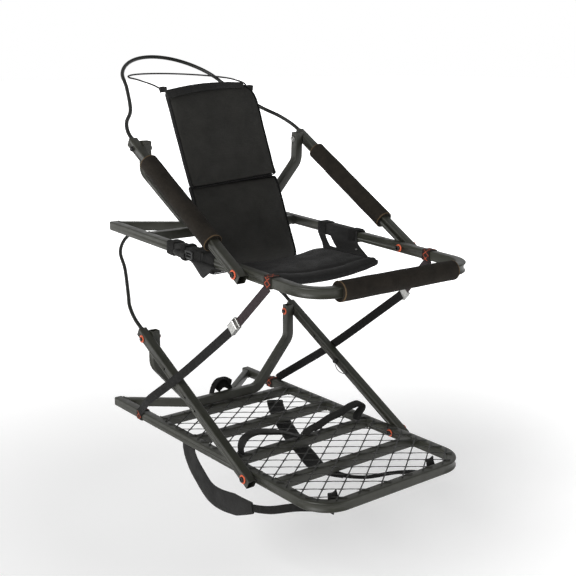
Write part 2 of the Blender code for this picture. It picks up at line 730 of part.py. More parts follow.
def build_tethers(mats):
    for side, sign in (("left", -1), ("right", 1)):
        bm = rail_ring(on_seat, SEAT, sign, TETHER_SEAT_Y, 0.027)
        finish_object(f"tether_seat_loop_{side}", bm, mats["patterned"])
        bm = rail_ring(on_platform, PLATFORM, sign, TETHER_RAIL_Y, 0.027)
        finish_object(f"tether_rail_loop_{side}", bm, mats["patterned"])

        under_rail = on_seat(sign * (SEAT.half - 0.006), TETHER_SEAT_Y + 0.010, -TUBE - 0.0105)
        buckle = on_platform(sign * TETHER_X, BUCKLE_Y, BUCKLE_Z)
        down = (buckle - under_rail).normalized()
        points = [under_rail.lerp(buckle - down * 0.019, t / 5) for t in range(6)]
        bm = strap_in_side_plane(points, WEBBING)
        finish_object(f"tether_upper_{side}", bm, mats["patterned"])

        build_cam_buckle(side, buckle, down, mats["zinc"])

        route = [buckle + down * 0.0215,
                 on_platform(sign * TETHER_X, 0.400, 0.300),
                 on_platform(sign * TETHER_X, 0.520, 0.212),
                 on_platform(sign * TETHER_X, 0.620, 0.142),
                 on_platform(sign * (TETHER_X - 0.004), 0.730, 0.070),
                 on_platform(sign * (PLATFORM.half + 0.0052), 0.812, 0.0120),
                 on_platform(sign * (PLATFORM.half + 0.0042), 0.830, -0.0020)]
        points = smooth_route(route, 22)
        bm = strap_in_side_plane(points, WEBBING)
        finish_object(f"tether_{side}", bm, mats["webbing"])


def build_cam_buckle(side, centre, down, mat):
    """Pressed-steel cam buckle: a tray with two sides, and a lever hinged across it."""
    across = Vector((1, 0, 0)).cross(down).normalized()
    out = Vector((-1, 0, 0)) if side == "left" else Vector((1, 0, 0))

    def place(u, v, w):
        return centre + down * u + across * v + out * w

    bm = bmesh.new()
    tray = [(-0.0150, 0.0), (0.0150, 0.0), (0.0150, 0.0090), (0.0134, 0.0090), (0.0134, 0.0014),
            (-0.0134, 0.0014), (-0.0134, 0.0090), (-0.0150, 0.0090)]
    rings = []
    for u in (-0.0180, 0.0180):
        rings.append([bm.verts.new(place(u, v, w)) for v, w in tray])
    bridge_rings(bm, rings)
    bm.faces.new(reversed(rings[0]))
    bm.faces.new(rings[1])
    finish_object(f"cam_buckle_{side}", bm, mat)

    hinge = place(-0.0060, 0.0, 0.0062)
    bm = bmesh.new()
    lever = [(-0.0082, 0.0038), (-0.0060, 0.0024), (-0.0020, 0.0046), (0.0170, 0.0072), (0.0175, 0.0088),
             (-0.0060, 0.0100), (-0.0084, 0.0080)]
    rings = []
    for v in (-0.0128, 0.0128):
        rings.append([bm.verts.new(place(u, v, w)) for u, w in lever])
    bridge_rings(bm, rings)
    bm.faces.new(reversed(rings[0]))
    bm.faces.new(rings[1])
    finish_object(f"cam_lever_{side}", bm, mat, hinge)


# ---------------------------------------------------------------- seat
PAD_Z = -0.026
PAD_DROP = 0.055
PAD_THICK = 0.032
PAD_HALF = 0.186
PAD_FRONT = 0.268
PAD_REAR = 0.522
PAD_SAG = 0.020
BACK_LOW = (0.590, -0.102)
BACK_SEAM = (0.686, 0.134)
BACK_TOP = (0.778, 0.392)
BACK_HALF = 0.149
BACK_THICK = 0.030


def rounded_slab(place_uv, half_u, low_v, high_v, thick, radius, steps=4):
    """Flat cushion: a rounded rectangle in u and v, with thickness along w."""
    outline = []
    for cu, cv, start in ((half_u - radius, high_v - radius, 0.0), (-half_u + radius, high_v - radius, 90.0),
                          (-half_u + radius, low_v + radius, 180.0), (half_u - radius, low_v + radius, 270.0)):
        for step in range(steps + 1):
            angle = math.radians(start + 90.0 * step / steps)
            outline.append((cu + radius * math.cos(angle), cv + radius * math.sin(angle)))
    bm = bmesh.new()
    rings = []
    middle_v = (low_v + high_v) / 2
    for w, shrink in ((-thick / 2, 0.93), (-thick / 4, 1.0), (thick / 4, 1.0), (thick / 2, 0.93)):
        ring = []
        for u, v in outline:
            ring.append(bm.verts.new(place_uv(u * shrink, middle_v + (v - middle_v) * shrink, w)))
        rings.append(ring)
    bridge_rings(bm, rings)
    bm.faces.new(reversed(rings[0]))
    bm.faces.new(rings[-1])
    return bm


def build_seat_pad(mat):
    """Padded seat that hangs from the slings at its two ends and sags between them."""
    stations = [(-1.0, 0.030), (-0.965, 0.011), (-0.88, 0.0)]
    stations += [(share / 10, 0.0) for share in range(-7, 8, 2)]
    stations += [(0.88, 0.0), (0.965, 0.011), (1.0, 0.030)]
    bm = bmesh.new()
    rings = []
    for share, inset in stations:
        middle_z = PAD_Z - PAD_THICK / 2 - PAD_SAG * (1 - share ** 2)
        half_z = PAD_THICK / 2 - inset * 0.15
        low_y = PAD_FRONT + inset
        high_y = PAD_REAR - inset
        ring = []
        for y, turn in ((high_y, 0), (low_y, 180)):
            out = 1 if turn == 0 else -1
            for step in range(5):
                angle = math.radians(-90 + turn + 45 * step)
                centre_y = y - out * half_z
                fall = PAD_DROP * (centre_y - PAD_FRONT)
                ring.append((centre_y + half_z * math.cos(angle), middle_z - fall + half_z * math.sin(angle)))
        rings.append([bm.verts.new(on_seat(share * PAD_HALF, y, z)) for y, z in ring])
    bridge_rings(bm, rings)
    bm.faces.new(reversed(rings[0]))
    bm.faces.new(rings[-1])
    finish_object("seat_pad", bm, mat)


def build_backrest(mat, origin):
    """Two padded panels, hinged to each other by the cloth; both lean back towards the trunk."""
    for name, low, high, lean in (("backrest_lower", BACK_LOW, BACK_SEAM, (0.0, -0.006)),
                                  ("backrest_upper", BACK_SEAM, BACK_TOP, (-0.006, -0.026))):
        bottom = on_seat(lean[0], *low)
        top = on_seat(lean[1], *high)
        up = (top - bottom).normalized()
        right = Vector((1, 0, 0))
        right = (right - up * right.dot(up)).normalized()
        out = right.cross(up)
        height = (top - bottom).length

        def place(u, v, w, bottom=bottom, right=right, up=up, out=out):
            return bottom + right * u + up * v + out * w

        bm = rounded_slab(place, BACK_HALF, 0.0038, height - 0.0038, BACK_THICK, 0.022)
        finish_object(name, bm, mat, origin)


def build_hangers(mat):
    """Cloth slings that wrap the side rails and carry the seat pad."""
    for side, sign in (("left", -1), ("right", 1)):
        gap = 0.0026
        low_x = SEAT.half - TUBE - gap
        high_x = SEAT.half + gap
        route = [(0.1890, 0.410, 0.200, -0.050), (0.2140, 0.452, 0.190, -0.045), (0.2360, 0.496, 0.178, -0.036),
                 (low_x, 0.5175, 0.172, -0.022)]
        wrap = [(low_x, gap - 0.0015), (low_x + 0.0015, gap), (high_x - 0.0015, gap), (high_x, gap - 0.0015),
                (high_x, -TUBE - gap + 0.0015), (high_x - 0.0015, -TUBE - gap), (low_x + 0.006, -TUBE - gap)]
        route += [(x, 0.5175, 0.172, z) for x, z in wrap]
        bm = bmesh.new()
        rings = []
        for index, (x, y, width, z) in enumerate(route):
            ahead = route[min(index + 1, len(route) - 1)]
            behind = route[max(index - 1, 0)]
            run = Vector((ahead[0] - behind[0], ahead[3] - behind[3])).normalized() * 0.0011
            ring = []
            for side_y, side_t in ((-1, -1), (1, -1), (1, 1), (-1, 1)):
                ring.append(bm.verts.new(on_seat(sign * (x - run.y * side_t), y + side_y * width / 2,
                                                 z + run.x * side_t)))
            rings.append(ring)
        bridge_rings(bm, rings)
        bm.faces.new(reversed(rings[0]))
        bm.faces.new(rings[-1])
        hanger = finish_object(f"seat_hanger_{side}", bm, mat)
        cut = bmesh.new()
        corners = [(0.200, 0.476, 0.500), (0.240, 0.540, 0.566)]
        rings = []
        for x, low_y, high_y in corners:
            ring = ((low_y, -0.075), (high_y, -0.075), (high_y, -0.020), (low_y, -0.020))
            rings.append([cut.verts.new(on_seat(sign * x, y, z)) for y, z in ring])
        bridge_rings(cut, rings)
        cut.faces.new(reversed(rings[0]))
        cut.faces.new(rings[-1])
        bmesh.ops.recalc_face_normals(cut, faces=cut.faces)
        mesh = bpy.data.meshes.new("window")
        cut.to_mesh(mesh)
        cut.free()
        window = bpy.data.objects.new("window", mesh)
        bpy.context.scene.collection.objects.link(window)
        carve(hanger, [window])


def build_hanger_buckles(mat):
    """Ladder-lock buckles on the slings, outside the side rails."""
    for side, sign in (("left", -1), ("right", 1)):
        x = SEAT.half + 0.0064
        bm = bmesh.new()
        low = (min(sign * x, sign * (x + 0.006)), 0.470, -0.021)
        high = (max(sign * x, sign * (x + 0.006)), 0.500, 0.000)
        box_mesh(bm, low, high, on_seat)
        finish_object(f"hanger_buckle_{side}", bm, mat)


def build_bungee(mat):
    """Elastic cord from the backrest's top corners round the trunk."""
    left = (-0.026 - BACK_HALF + 0.004, BACK_TOP[0] + 0.021, BACK_TOP[1] - 0.010)
    right = (-0.026 + BACK_HALF - 0.004, BACK_TOP[0] + 0.021, BACK_TOP[1] - 0.010)
    trunk_y = CABLE_LOOPS["seat"][1]
    ring = []
    for degrees in range(-16, 197, 18):
        angle = math.radians(degrees)
        lift = 0.400 + 0.006 * math.sin(angle)
        ring.append((BUNGEE_LOOP * math.cos(angle), trunk_y + BUNGEE_LOOP * math.sin(angle), lift))
    route = [right, (0.150, 0.860, 0.392)] + ring + [(-0.168, 0.860, 0.392), left]
    points = smooth_route([on_seat(*p) for p in route], 60)
    cord_object("bungee_cord", points, 0.0024, mat)


# ---------------------------------------------------------------- assembly
def build_section(sec, place, mats, cross_bars, pin_holes, hoop_washer):
    normal = place(0, 0, 1) - place(0, 0, 0)
    pivot = place(0, sec.pivot.y, sec.pivot.z)
    hoop_hinge = place(0, sec.hoop_hinge.y, sec.hoop_hinge.z)
    build_u_frame(sec, place, mats["steel"], normal)
    build_v_bar(sec, place, mats["steel"], normal)
    build_cross_bar(f"{sec.prefix}_rear_bar", sec, sec.rear_bar_y, place, mats["steel"], normal)
    for number, y in enumerate(cross_bars, start=1):
        build_cross_bar(f"{sec.prefix}_cross_bar_{number}", sec, y, place, mats["steel"], normal)
    build_arms(sec, place, mats["steel"], pivot, pin_holes)
    build_hoop(sec, place, mats["steel"], hoop_hinge)
    build_pivot_bolts(sec, place, mats["washer"])
    build_hoop_bolts(sec, place, mats["washer"], hoop_hinge, pivot, hoop_washer)
    build_cable(sec, place, mats["cable"], pivot)


def main():
    clear_scene()
    mats = make_materials()
    step = (PLATFORM.rear_bar_y - TUBE / 2) / 4
    deck_bars = [TUBE / 2 + step * n for n in (1, 2, 3)]
    build_section(PLATFORM, on_platform, mats, deck_bars, (0.247, 0.300, 0.416), 0.0110)
    build_section(SEAT, on_seat, mats, [], (), 0.0075)

    build_mesh(mats["mesh"])
    build_foot_straps(mats["rubber"])
    build_shoulder_straps(mats["webbing"])
    build_carry_handle(mats["webbing"])
    build_locking_pin(mats["zinc"], mats["zinc"])
    build_tethers(mats)

    seat_normal = on_seat(0, 0, 1) - on_seat(0, 0, 0)
    seat_pivot = on_seat(0, SEAT.pivot.y, SEAT.pivot.z)
    build_foam("front_grip", on_seat(-0.187, TUBE / 2, -TUBE / 2), on_seat(0.187, TUBE / 2, -TUBE / 2),
               seat_normal, mats["foam"])
    arm_up = on_seat(*SEAT.arm_up) - on_seat(0, 0, 0)
    for side, sign in (("left", -1), ("right", 1)):
        x = sign * SEAT.arm_x
        build_foam(f"arm_grip_{side}", on_seat(*arm_point(SEAT, 0.118, 0, x)),
                   on_seat(*arm_point(SEAT, 0.462, 0, x)), arm_up, mats["foam"], seat_pivot)
    build_seat_pad(mats["fabric"])
    build_backrest(mats["fabric"], on_seat(0, *BACK_LOW))
    build_hangers(mats["fabric"])
    build_hanger_buckles(mats["webbing"])
    build_bungee(mats["bungee"])


main()
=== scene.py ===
"""Climbing tree stand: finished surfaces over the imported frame."""

import math

import bmesh  # noqa: E402
import bpy  # noqa: E402
from mathutils import Matrix, Vector, noise  # noqa: E402


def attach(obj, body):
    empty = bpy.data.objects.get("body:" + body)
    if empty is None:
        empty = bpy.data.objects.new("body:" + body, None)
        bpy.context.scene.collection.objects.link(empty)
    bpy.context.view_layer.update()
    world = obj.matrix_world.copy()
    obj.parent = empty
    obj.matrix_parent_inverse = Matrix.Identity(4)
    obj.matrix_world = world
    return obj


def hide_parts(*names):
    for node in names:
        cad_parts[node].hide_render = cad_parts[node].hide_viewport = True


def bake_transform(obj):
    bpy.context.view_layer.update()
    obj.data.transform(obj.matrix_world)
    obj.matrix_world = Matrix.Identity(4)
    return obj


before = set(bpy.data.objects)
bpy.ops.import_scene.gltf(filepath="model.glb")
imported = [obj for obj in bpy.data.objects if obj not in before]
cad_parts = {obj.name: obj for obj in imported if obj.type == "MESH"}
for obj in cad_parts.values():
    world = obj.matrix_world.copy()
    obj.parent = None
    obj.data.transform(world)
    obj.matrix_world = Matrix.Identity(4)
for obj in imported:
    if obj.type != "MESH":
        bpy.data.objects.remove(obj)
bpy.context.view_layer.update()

# ---------------------------------------------------------------- sizes shared with the CAD (metres)
TUBE = 0.0254
WALL = 0.0014
SIDE_GAP = 0.0016
BEND_RADIUS = 0.0723
TRUNK_Y = 0.990
V_WIDTH = 0.019
ARM_END_LOW = 0.022
ARM_END_HIGH = 0.027
BOLT_DROP = 0.004
HOOP_GAP = 0.0033
CABLE_LIFT = 0.006
CABLE_RADIUS = 0.0055
BUNGEE_LOOP = 0.1610
CABLE_LOOPS = {"platform": (0.190, 0.985), "seat": (0.178, 0.962)}
CABLE_LEAVES = {"platform": ((0.001, 0.042), (0.012, 0.090), (0.034, 0.136)),
                "seat": ((0.005, 0.035), (0.024, 0.075), (0.066, 0.128))}
SEAT_TILT = math.radians(2.45)
SEAT_FRONT_Y = 0.012
SEAT_HEIGHT = 0.516


def on_platform(x, y, z):
    return Vector((x, y - TRUNK_Y, z))


def on_seat(x, y, z):
    cos_t = math.cos(SEAT_TILT)
    sin_t = math.sin(SEAT_TILT)
    return Vector((x, SEAT_FRONT_Y + y * cos_t - z * sin_t - TRUNK_Y,
                   SEAT_HEIGHT + y * sin_t + z * cos_t))


class Section:
    """One climbing section: its sizes, and the function that places its local points."""

    def __init__(self, prefix, place, half, depth, rear_y, v_slope, pivot_y, top_y, top_z, corner_x, corner_z):
        self.prefix = prefix
        self.place = place
        self.half = half
        self.depth = depth
        self.rear_y = rear_y
        self.v_slope = v_slope
        self.pivot = Vector((0.0, pivot_y, -TUBE / 2))
        self.top = Vector((0.0, top_y, top_z))
        self.corner_x = corner_x
        self.corner_z = corner_z
        span = self.top - self.pivot
        self.arm_length = span.length
        self.arm_dir = span.normalized()
        self.arm_up = Vector((0.0, -self.arm_dir.z, self.arm_dir.y))
        self.arm_x = half + SIDE_GAP + TUBE / 2
        self.hoop_x = half - TUBE / 2 + SIDE_GAP / 2
        self.hoop_bolt = self.top - self.arm_up * BOLT_DROP

    def arm_point(self, along, up=0.0, x=0.0):
        p = self.pivot + self.arm_dir * along + self.arm_up * up
        return self.place(x, p.y, p.z)

    def direction(self, x, y, z):
        return self.place(x, y, z) - self.place(0, 0, 0)


PLATFORM = Section("platform", on_platform, 0.254, 0.988, 0.745, 0.852, 0.2736, 0.7556, 0.2468, 0.117, 0.160)
SEAT = Section("seat", on_seat, 0.2737, 0.924, 0.733, 0.610, 0.2641, 0.7355, 0.2358, 0.131, 0.168)


# ---------------------------------------------------------------- materials
class Nodes:
    """Small helper for building a material's node tree."""

    def __init__(self, name):
        self.mat = bpy.data.materials.new(name)
        self.mat.use_nodes = True
        self.tree = self.mat.node_tree
        self.shader = self.tree.nodes["Principled BSDF"]

    def add(self, kind, **values):
        node = self.tree.nodes.new(kind)
        for key, value in values.items():
            if hasattr(node, key):
                setattr(node, key, value)
            else:
                node.inputs[key.replace("_", " ")].default_value = value
        return node

    def link(self, source, target):
        self.tree.links.new(source, target)

    def coords(self, space="Object"):
        return self.add("ShaderNodeTexCoord").outputs[space]

    def noise(self, vector, scale, detail=3.0, rough=0.5):
        node = self.add("ShaderNodeTexNoise", Scale=scale, Detail=detail, Roughness=rough)
        self.link(vector, node.inputs["Vector"])
        return node.outputs["Fac"]

    def ramp(self, factor, stops):
        node = self.add("ShaderNodeValToRGB")
        elements = node.color_ramp.elements
        while len(elements) < len(stops):
            elements.new(0.5)
        for element, (place, color) in zip(elements, stops):
            element.position = place
            element.color = (*color, 1.0)
        self.link(factor, node.inputs["Fac"])
        return node.outputs["Color"]

    def spread(self, factor, low, high, from_low=0.3, from_high=0.7):
        node = self.add("ShaderNodeMapRange")
        node.inputs["From Min"].default_value = from_low
        node.inputs["From Max"].default_value = from_high
        node.inputs["To Min"].default_value = low
        node.inputs["To Max"].default_value = high
        self.link(factor, node.inputs["Value"])
        return node.outputs["Result"]

    def math(self, operation, a, b=0.5):
        node = self.add("ShaderNodeMath", operation=operation)
        for socket, value in zip(node.inputs, (a, b)):
            if isinstance(value, (int, float)):
                socket.default_value = value
            else:
                self.link(value, socket)
        return node.outputs[0]

    def mix(self, factor, a, b):
        node = self.add("ShaderNodeMix", data_type="RGBA")
        self.link(factor, node.inputs[0])
        for socket, value in ((node.inputs[6], a), (node.inputs[7], b)):
            if isinstance(value, tuple):
                socket.default_value = (*value, 1.0)
            else:
                self.link(value, socket)
        return node.outputs[2]

    def bump(self, height, strength, distance):
        node = self.add("ShaderNodeBump")
        node.inputs["Strength"].default_value = strength
        node.inputs["Distance"].default_value = distance
        self.link(height, node.inputs["Height"])
        previous = self.shader.inputs["Normal"]
        if previous.is_linked:
            self.link(previous.links[0].from_socket, node.inputs["Normal"])
        self.link(node.outputs["Normal"], previous)

    def color(self, socket):
        self.link(socket, self.shader.inputs["Base Color"])

    def rough(self, socket):
        self.link(socket, self.shader.inputs["Roughness"])

    def set(self, **values):
        for key, value in values.items():
            self.shader.inputs[key.replace("_", " ")].default_value = value
        return self


def coated_steel(name, dark, light, rough_low, rough_high):
    """Powder coat: faint mottling, orange-peel bump and a few scuffs."""
    n = Nodes(name)
    at = n.coords()
    mottle = n.noise(at, 26.0, 5.0, 0.6)
    scuffs = n.noise(at, 210.0, 2.0, 0.7)
    base = n.ramp(mottle, [(0.3, dark), (0.7, light)])
    bright = tuple(c * 1.7 for c in light)
    marks = n.spread(scuffs, 0.0, 0.45, 0.66, 0.74)
    n.color(n.mix(marks, base, bright))
    n.rough(n.spread(n.noise(at, 60.0, 3.0), rough_low, rough_high))
    n.bump(n.noise(at, 900.0, 2.0), 0.18, 0.0004)
    n.bump(n.noise(at, 120.0, 2.0), 0.10, 0.0008)
    n.set(Specular_IOR_Level=0.36)
    return n.mat


def bare_metal(name, dark, light, rough_low, rough_high):
    n = Nodes(name)
    at = n.coords()
    n.color(n.ramp(n.noise(at, 180.0, 4.0), [(0.3, dark), (0.7, light)]))
    n.rough(n.spread(n.noise(at, 420.0, 3.0), rough_low, rough_high))
    n.bump(n.noise(at, 1400.0, 2.0), 0.15, 0.0003)
    n.set(Metallic=0.9)
    return n.mat


def foam(name, dark, light):
    """Closed-cell foam: fine pitting and soft dents."""
    n = Nodes(name)
    at = n.coords()
    cells = n.add("ShaderNodeTexVoronoi", Scale=620.0)
    n.link(at, cells.inputs["Vector"])
    blotch = n.noise(at, 34.0, 4.0, 0.6)
    n.color(n.ramp(blotch, [(0.3, dark), (0.72, light)]))
    n.rough(n.spread(n.noise(at, 200.0), 0.86, 0.98))
    n.bump(cells.outputs["Distance"], 0.55, 0.0009)
    n.bump(n.noise(at, 70.0, 3.0), 0.35, 0.0022)
    n.set(Specular_IOR_Level=0.16)
    return n.mat


def moulded(name, dark, light, rough_low, rough_high, shine=0.4):
    n = Nodes(name)
    at = n.coords()
    n.color(n.ramp(n.noise(at, 90.0, 3.0), [(0.3, dark), (0.7, light)]))
    n.rough(n.spread(n.noise(at, 160.0), rough_low, rough_high))
    n.bump(n.noise(at, 700.0, 2.0), 0.12, 0.0004)
    n.set(Specular_IOR_Level=shine)
    return n.mat


def pack_cloth(name, dark, light):
    """Coated pack cloth: a fine plain weave, soft folds and a little dust."""
    n = Nodes(name)
    at = n.coords()
    threads = None
    for axis in ("X", "Y", "Z"):
        wave = n.add("ShaderNodeTexWave", bands_direction=axis, Scale=170.0)
        wave.inputs["Distortion"].default_value = 0.6
        n.link(at, wave.inputs["Vector"])
        threads = wave.outputs["Fac"] if threads is None else n.math("ADD", threads, wave.outputs["Fac"])
    tone = n.noise(at, 11.0, 5.0, 0.62)
    n.color(n.ramp(tone, [(0.28, dark), (0.72, light)]))
    n.rough(n.spread(n.noise(at, 24.0, 4.0), 0.58, 0.78))
    n.bump(threads, 0.28, 0.0005)
    n.bump(n.noise(at, 30.0, 4.0, 0.55), 0.30, 0.0050)
    n.set(Sheen_Weight=0.015, Sheen_Roughness=0.45, Specular_IOR_Level=0.24)
    return n.mat


def webbing(name, dark, light, accent=None):
    """Woven strap: ribs across, rows along, with an optional broken accent pattern."""
    n = Nodes(name)
    uv = n.coords("UV")
    split = n.add("ShaderNodeSeparateXYZ")
    n.link(uv, split.inputs[0])
    rows = n.math("SINE", n.math("MULTIPLY", split.outputs["X"], 2 * math.pi / 0.0032))
    ribs = n.math("SINE", n.math("MULTIPLY", split.outputs["Y"], 2 * math.pi / 0.0022))
    weave = n.math("MULTIPLY", rows, ribs)
    shade = n.spread(n.noise(uv, 160.0, 4.0, 0.6), 0.0, 1.0)
    base = n.mix(shade, dark, light)
    if accent is not None:
        turn = n.math("PINGPONG", split.outputs["Y"], 0.0085)
        reach = n.math("ABSOLUTE", split.outputs["X"])
        near = n.math("ABSOLUTE", n.math("SUBTRACT", turn, n.math("MULTIPLY", reach, 0.85)))
        line = n.spread(near, 1.0, 0.0, 0.0009, 0.0018)
        line = n.math("MULTIPLY", line, n.spread(n.noise(uv, 70.0, 2.0), 0.15, 1.0, 0.40, 0.52))
        base = n.mix(line, base, accent)
    n.color(base)
    n.rough(n.spread(n.noise(uv, 90.0), 0.68, 0.88))
    n.bump(weave, 0.6, 0.0005)
    n.set(Sheen_Weight=0.015, Sheen_Roughness=0.5, Specular_IOR_Level=0.15)
    return n.mat


MATS = {
    "steel": coated_steel("powder_coat", (0.0175, 0.0180, 0.0130), (0.0285, 0.0290, 0.0220), 0.36, 0.50),
    "mesh": coated_steel("mesh_coat", (0.0065, 0.0065, 0.0055), (0.013, 0.013, 0.011), 0.42, 0.58),
    "weld": coated_steel("weld_coat", (0.017, 0.0175, 0.013), (0.028, 0.0285, 0.022), 0.38, 0.5),
    "zinc": bare_metal("zinc_plate", (0.30, 0.30, 0.29), (0.52, 0.52, 0.50), 0.25, 0.42),
    "dark_bolt": bare_metal("blackened_bolt", (0.028, 0.028, 0.028), (0.055, 0.055, 0.053), 0.34, 0.5),
    "orange": moulded("orange_nylon", (0.44, 0.070, 0.026), (0.58, 0.105, 0.042), 0.42, 0.6),
    "plastic": moulded("black_acetal", (0.010, 0.010, 0.010), (0.020, 0.020, 0.019), 0.34, 0.5),
    "rubber": moulded("strap_rubber", (0.0045, 0.0045, 0.0040), (0.0105, 0.0105, 0.0090), 0.56, 0.74, 0.24),
    "cable": moulded("cable_cover", (0.005, 0.0055, 0.0045), (0.011, 0.012, 0.010), 0.36, 0.5, 0.26),
    "foam": foam("grip_foam", (0.0085, 0.0070, 0.0052), (0.0160, 0.0130, 0.0098)),
    "foam_rim": foam("grip_foam_cut", (0.052, 0.034, 0.018), (0.090, 0.060, 0.032)),
    "cloth": pack_cloth("pack_cloth", (0.0090, 0.0088, 0.0076), (0.0170, 0.0164, 0.0142)),
    "cloth_dark": pack_cloth("sling_cloth", (0.0052, 0.0052, 0.0050), (0.0105, 0.0102, 0.0096)),
    "binding": webbing("edge_binding", (0.005, 0.005, 0.005), (0.011, 0.011, 0.011)),
    "webbing": webbing("black_webbing", (0.0040, 0.0040, 0.0038), (0.0090, 0.0086, 0.0082)),
    "bungee": webbing("bungee_sleeve", (0.008, 0.008, 0.008), (0.020, 0.020, 0.020)),
    "patterned": webbing("patterned_webbing", (0.010, 0.007, 0.006), (0.020, 0.014, 0.012),
                         (0.34, 0.060, 0.026)),
    "tether_top": webbing("tether_webbing", (0.020, 0.015, 0.016), (0.040, 0.030, 0.032)),
}


# ---------------------------------------------------------------- geometry helpers
def fillet_path(corners, radius, steps=9, lead=0.030):
    """Rounded polyline, with each point's bend share: 1 inside a bend, falling to 0 beside it."""
    points = [(Vector(corners[0]), 0.0)]
    for before, corner, after in zip(corners, corners[1:], corners[2:]):
        before, corner, after = Vector(before), Vector(corner), Vector(after)
        to_prev = (before - corner).normalized()
        to_next = (after - corner).normalized()
        half_angle = to_prev.angle(to_next) / 2
        tangent = radius / math.tan(half_angle)
        start = corner + to_prev * tangent
        centre = corner + (to_prev + to_next).normalized() * (radius / math.sin(half_angle))
        axis = to_next.cross(to_prev).normalized()
        sweep = math.pi - 2 * half_angle
        points.append((start + to_prev * lead, 0.0))
        points.append((start + to_prev * lead * 0.45, 0.35))
        for step in range(steps + 1):
            turn = Matrix.Rotation(sweep * step / steps, 3, axis)
            points.append((centre + turn @ (start - centre), 1.0))
        end = corner + to_next * tangent
        points.append((end + to_next * lead * 0.45, 0.35))
        points.append((end + to_next * lead, 0.0))
    points.append((Vector(corners[-1]), 0.0))
    return points


def ring_profile(width, height, corner, groove_side):
    """Rounded rectangle as (across, up, groove share) points."""
    half_w = width / 2
    half_h = height / 2
    profile = []
    for cw, ch, start in ((half_w - corner, half_h - corner, 0), (-half_w + corner, half_h - corner, 90),
                          (-half_w + corner, -half_h + corner, 180), (half_w - corner, -half_h + corner, 270)):
        for step in range(4):
            angle = math.radians(start + step * 30)
            profile.append((cw + corner * math.cos(angle), ch + corner * math.sin(angle), 0.0))
        if (start == 90 and groove_side < 0) or (start == 270 and groove_side > 0):
            down = -1 if start == 90 else 1
            for share, up in ((0.55, -0.55), (1.0, -0.22), (1.0, 0.22), (0.55, 0.55)):
                profile.append((half_w * groove_side, up * half_h * down, share))
    return profile


def new_object(name, bm, mat, smooth_angle=38.0):
    bmesh.ops.recalc_face_normals(bm, faces=bm.faces)
    mesh = bpy.data.meshes.new(name)
    bm.to_mesh(mesh)
    bm.free()
    mesh.materials.append(mat)
    mesh.shade_smooth()
    mesh.set_sharp_from_angle(angle=math.radians(smooth_angle))
    obj = bpy.data.objects.new(name, mesh)
    bpy.context.scene.collection.objects.link(obj)
    return obj


def skin(bm, rings, closed=False):
    pairs = list(zip(rings, rings[1:]))
    if closed:
        pairs.append((rings[-1], rings[0]))
    faces = []
    for a, b in pairs:
        for i in range(len(a)):
            j = (i + 1) % len(a)
            faces.append(bm.faces.new((a[i], a[j], b[j], b[i])))
    return faces


def close_ends(bm, rings):
    """Close both ends of a skinned body."""
    bm.faces.new(reversed(rings[0]))
    bm.faces.new(rings[-1])


def square_tube(name, path, normal, groove_side=0, groove=0.0, width=TUBE, height=TUBE, end_cuts=(None, None)):
    """Hollow square tube with rounded corners, open ends and an optional crease through its bends."""
    normal = Vector(normal).normalized()
    outer = ring_profile(width, height, 0.0030, groove_side)
    inner = ring_profile(width - 2 * WALL, height - 2 * WALL, 0.0016, groove_side)
    points = [p for p, _ in path]
    last = len(points) - 1
    bm = bmesh.new()
    outer_rings = []
    inner_rings = []
    for i, point in enumerate(points):
        ahead = (points[i + 1] - point).normalized() if i < last else None
        behind = (point - points[i - 1]).normalized() if i > 0 else ahead
        ahead = ahead or behind
        side_a = normal.cross(ahead)
        mitre = (side_a + normal.cross(behind)).normalized()
        if i == 0 and end_cuts[0] is not None:
            mitre = Vector(end_cuts[0]).normalized()
        if i == last and end_cuts[1] is not None:
            mitre = Vector(end_cuts[1]).normalized()
        stretch = 1.0 / mitre.dot(side_a)
        for rings, profile in ((outer_rings, outer), (inner_rings, inner)):
            ring = []
            for across, up, share in profile:
                across -= groove_side * share * groove * path[i][1]
                ring.append(bm.verts.new(point + mitre * across * stretch + normal * up))
            rings.append(ring)
    skin(bm, outer_rings)
    skin(bm, [list(reversed(ring)) for ring in inner_rings])
    for end in (0, last):
        for i in range(len(outer)):
            j = (i + 1) % len(outer)
            bm.faces.new((outer_rings[end][i], outer_rings[end][j], inner_rings[end][j], inner_rings[end][i]))
    return new_object(name, bm, MATS["steel"])


def cut_holes(obj, holes):
    """Drill round holes: each is a centre, an axis, a radius and a length."""
    cutters = []
    for centre, axis, radius, length in holes:
        bm = turned_mesh([(-length / 2, radius), (length / 2, radius)], 20, centre, axis)
        cutter = new_object("drill", bm, MATS["steel"])
        modifier = obj.modifiers.new("drill", "BOOLEAN")
        modifier.operation = "DIFFERENCE"
        modifier.solver = "EXACT"
        modifier.object = cutter
        cutters.append(cutter)
    graph = bpy.context.evaluated_depsgraph_get()
    graph.update()
    mesh = bpy.data.meshes.new_from_object(obj.evaluated_get(graph))
    obj.modifiers.clear()
    obj.data = mesh
    for cutter in cutters:
        bpy.data.objects.remove(cutter, do_unlink=True)
    return obj


def turned_mesh(profile, segments, centre, axis, hexagon=()):
    """Solid of revolution; rings listed in hexagon are six-sided."""
    bm = bmesh.new()
    axis = Vector(axis).normalized()
    side = Vector((0, 0, 1)) if abs(axis.z) < 0.9 else Vector((1, 0, 0))
    side = (side - axis * side.dot(axis)).normalized()
    other = axis.cross(side)
    rings = []
    for index, (along, radius) in enumerate(profile):
        ring = []
        for i in range(segments):
            angle = 2 * math.pi * i / segments
            reach = radius
            if index in hexagon:
                sector = (angle + math.pi / 6) % (math.pi / 3) - math.pi / 6
                reach = radius * math.cos(math.pi / 6) / math.cos(sector)
            offset = side * math.cos(angle) * reach + other * math.sin(angle) * reach
            ring.append(bm.verts.new(Vector(centre) + axis * along + offset))
        rings.append(ring)
    skin(bm, rings)
    close_ends(bm, rings)
    return bm


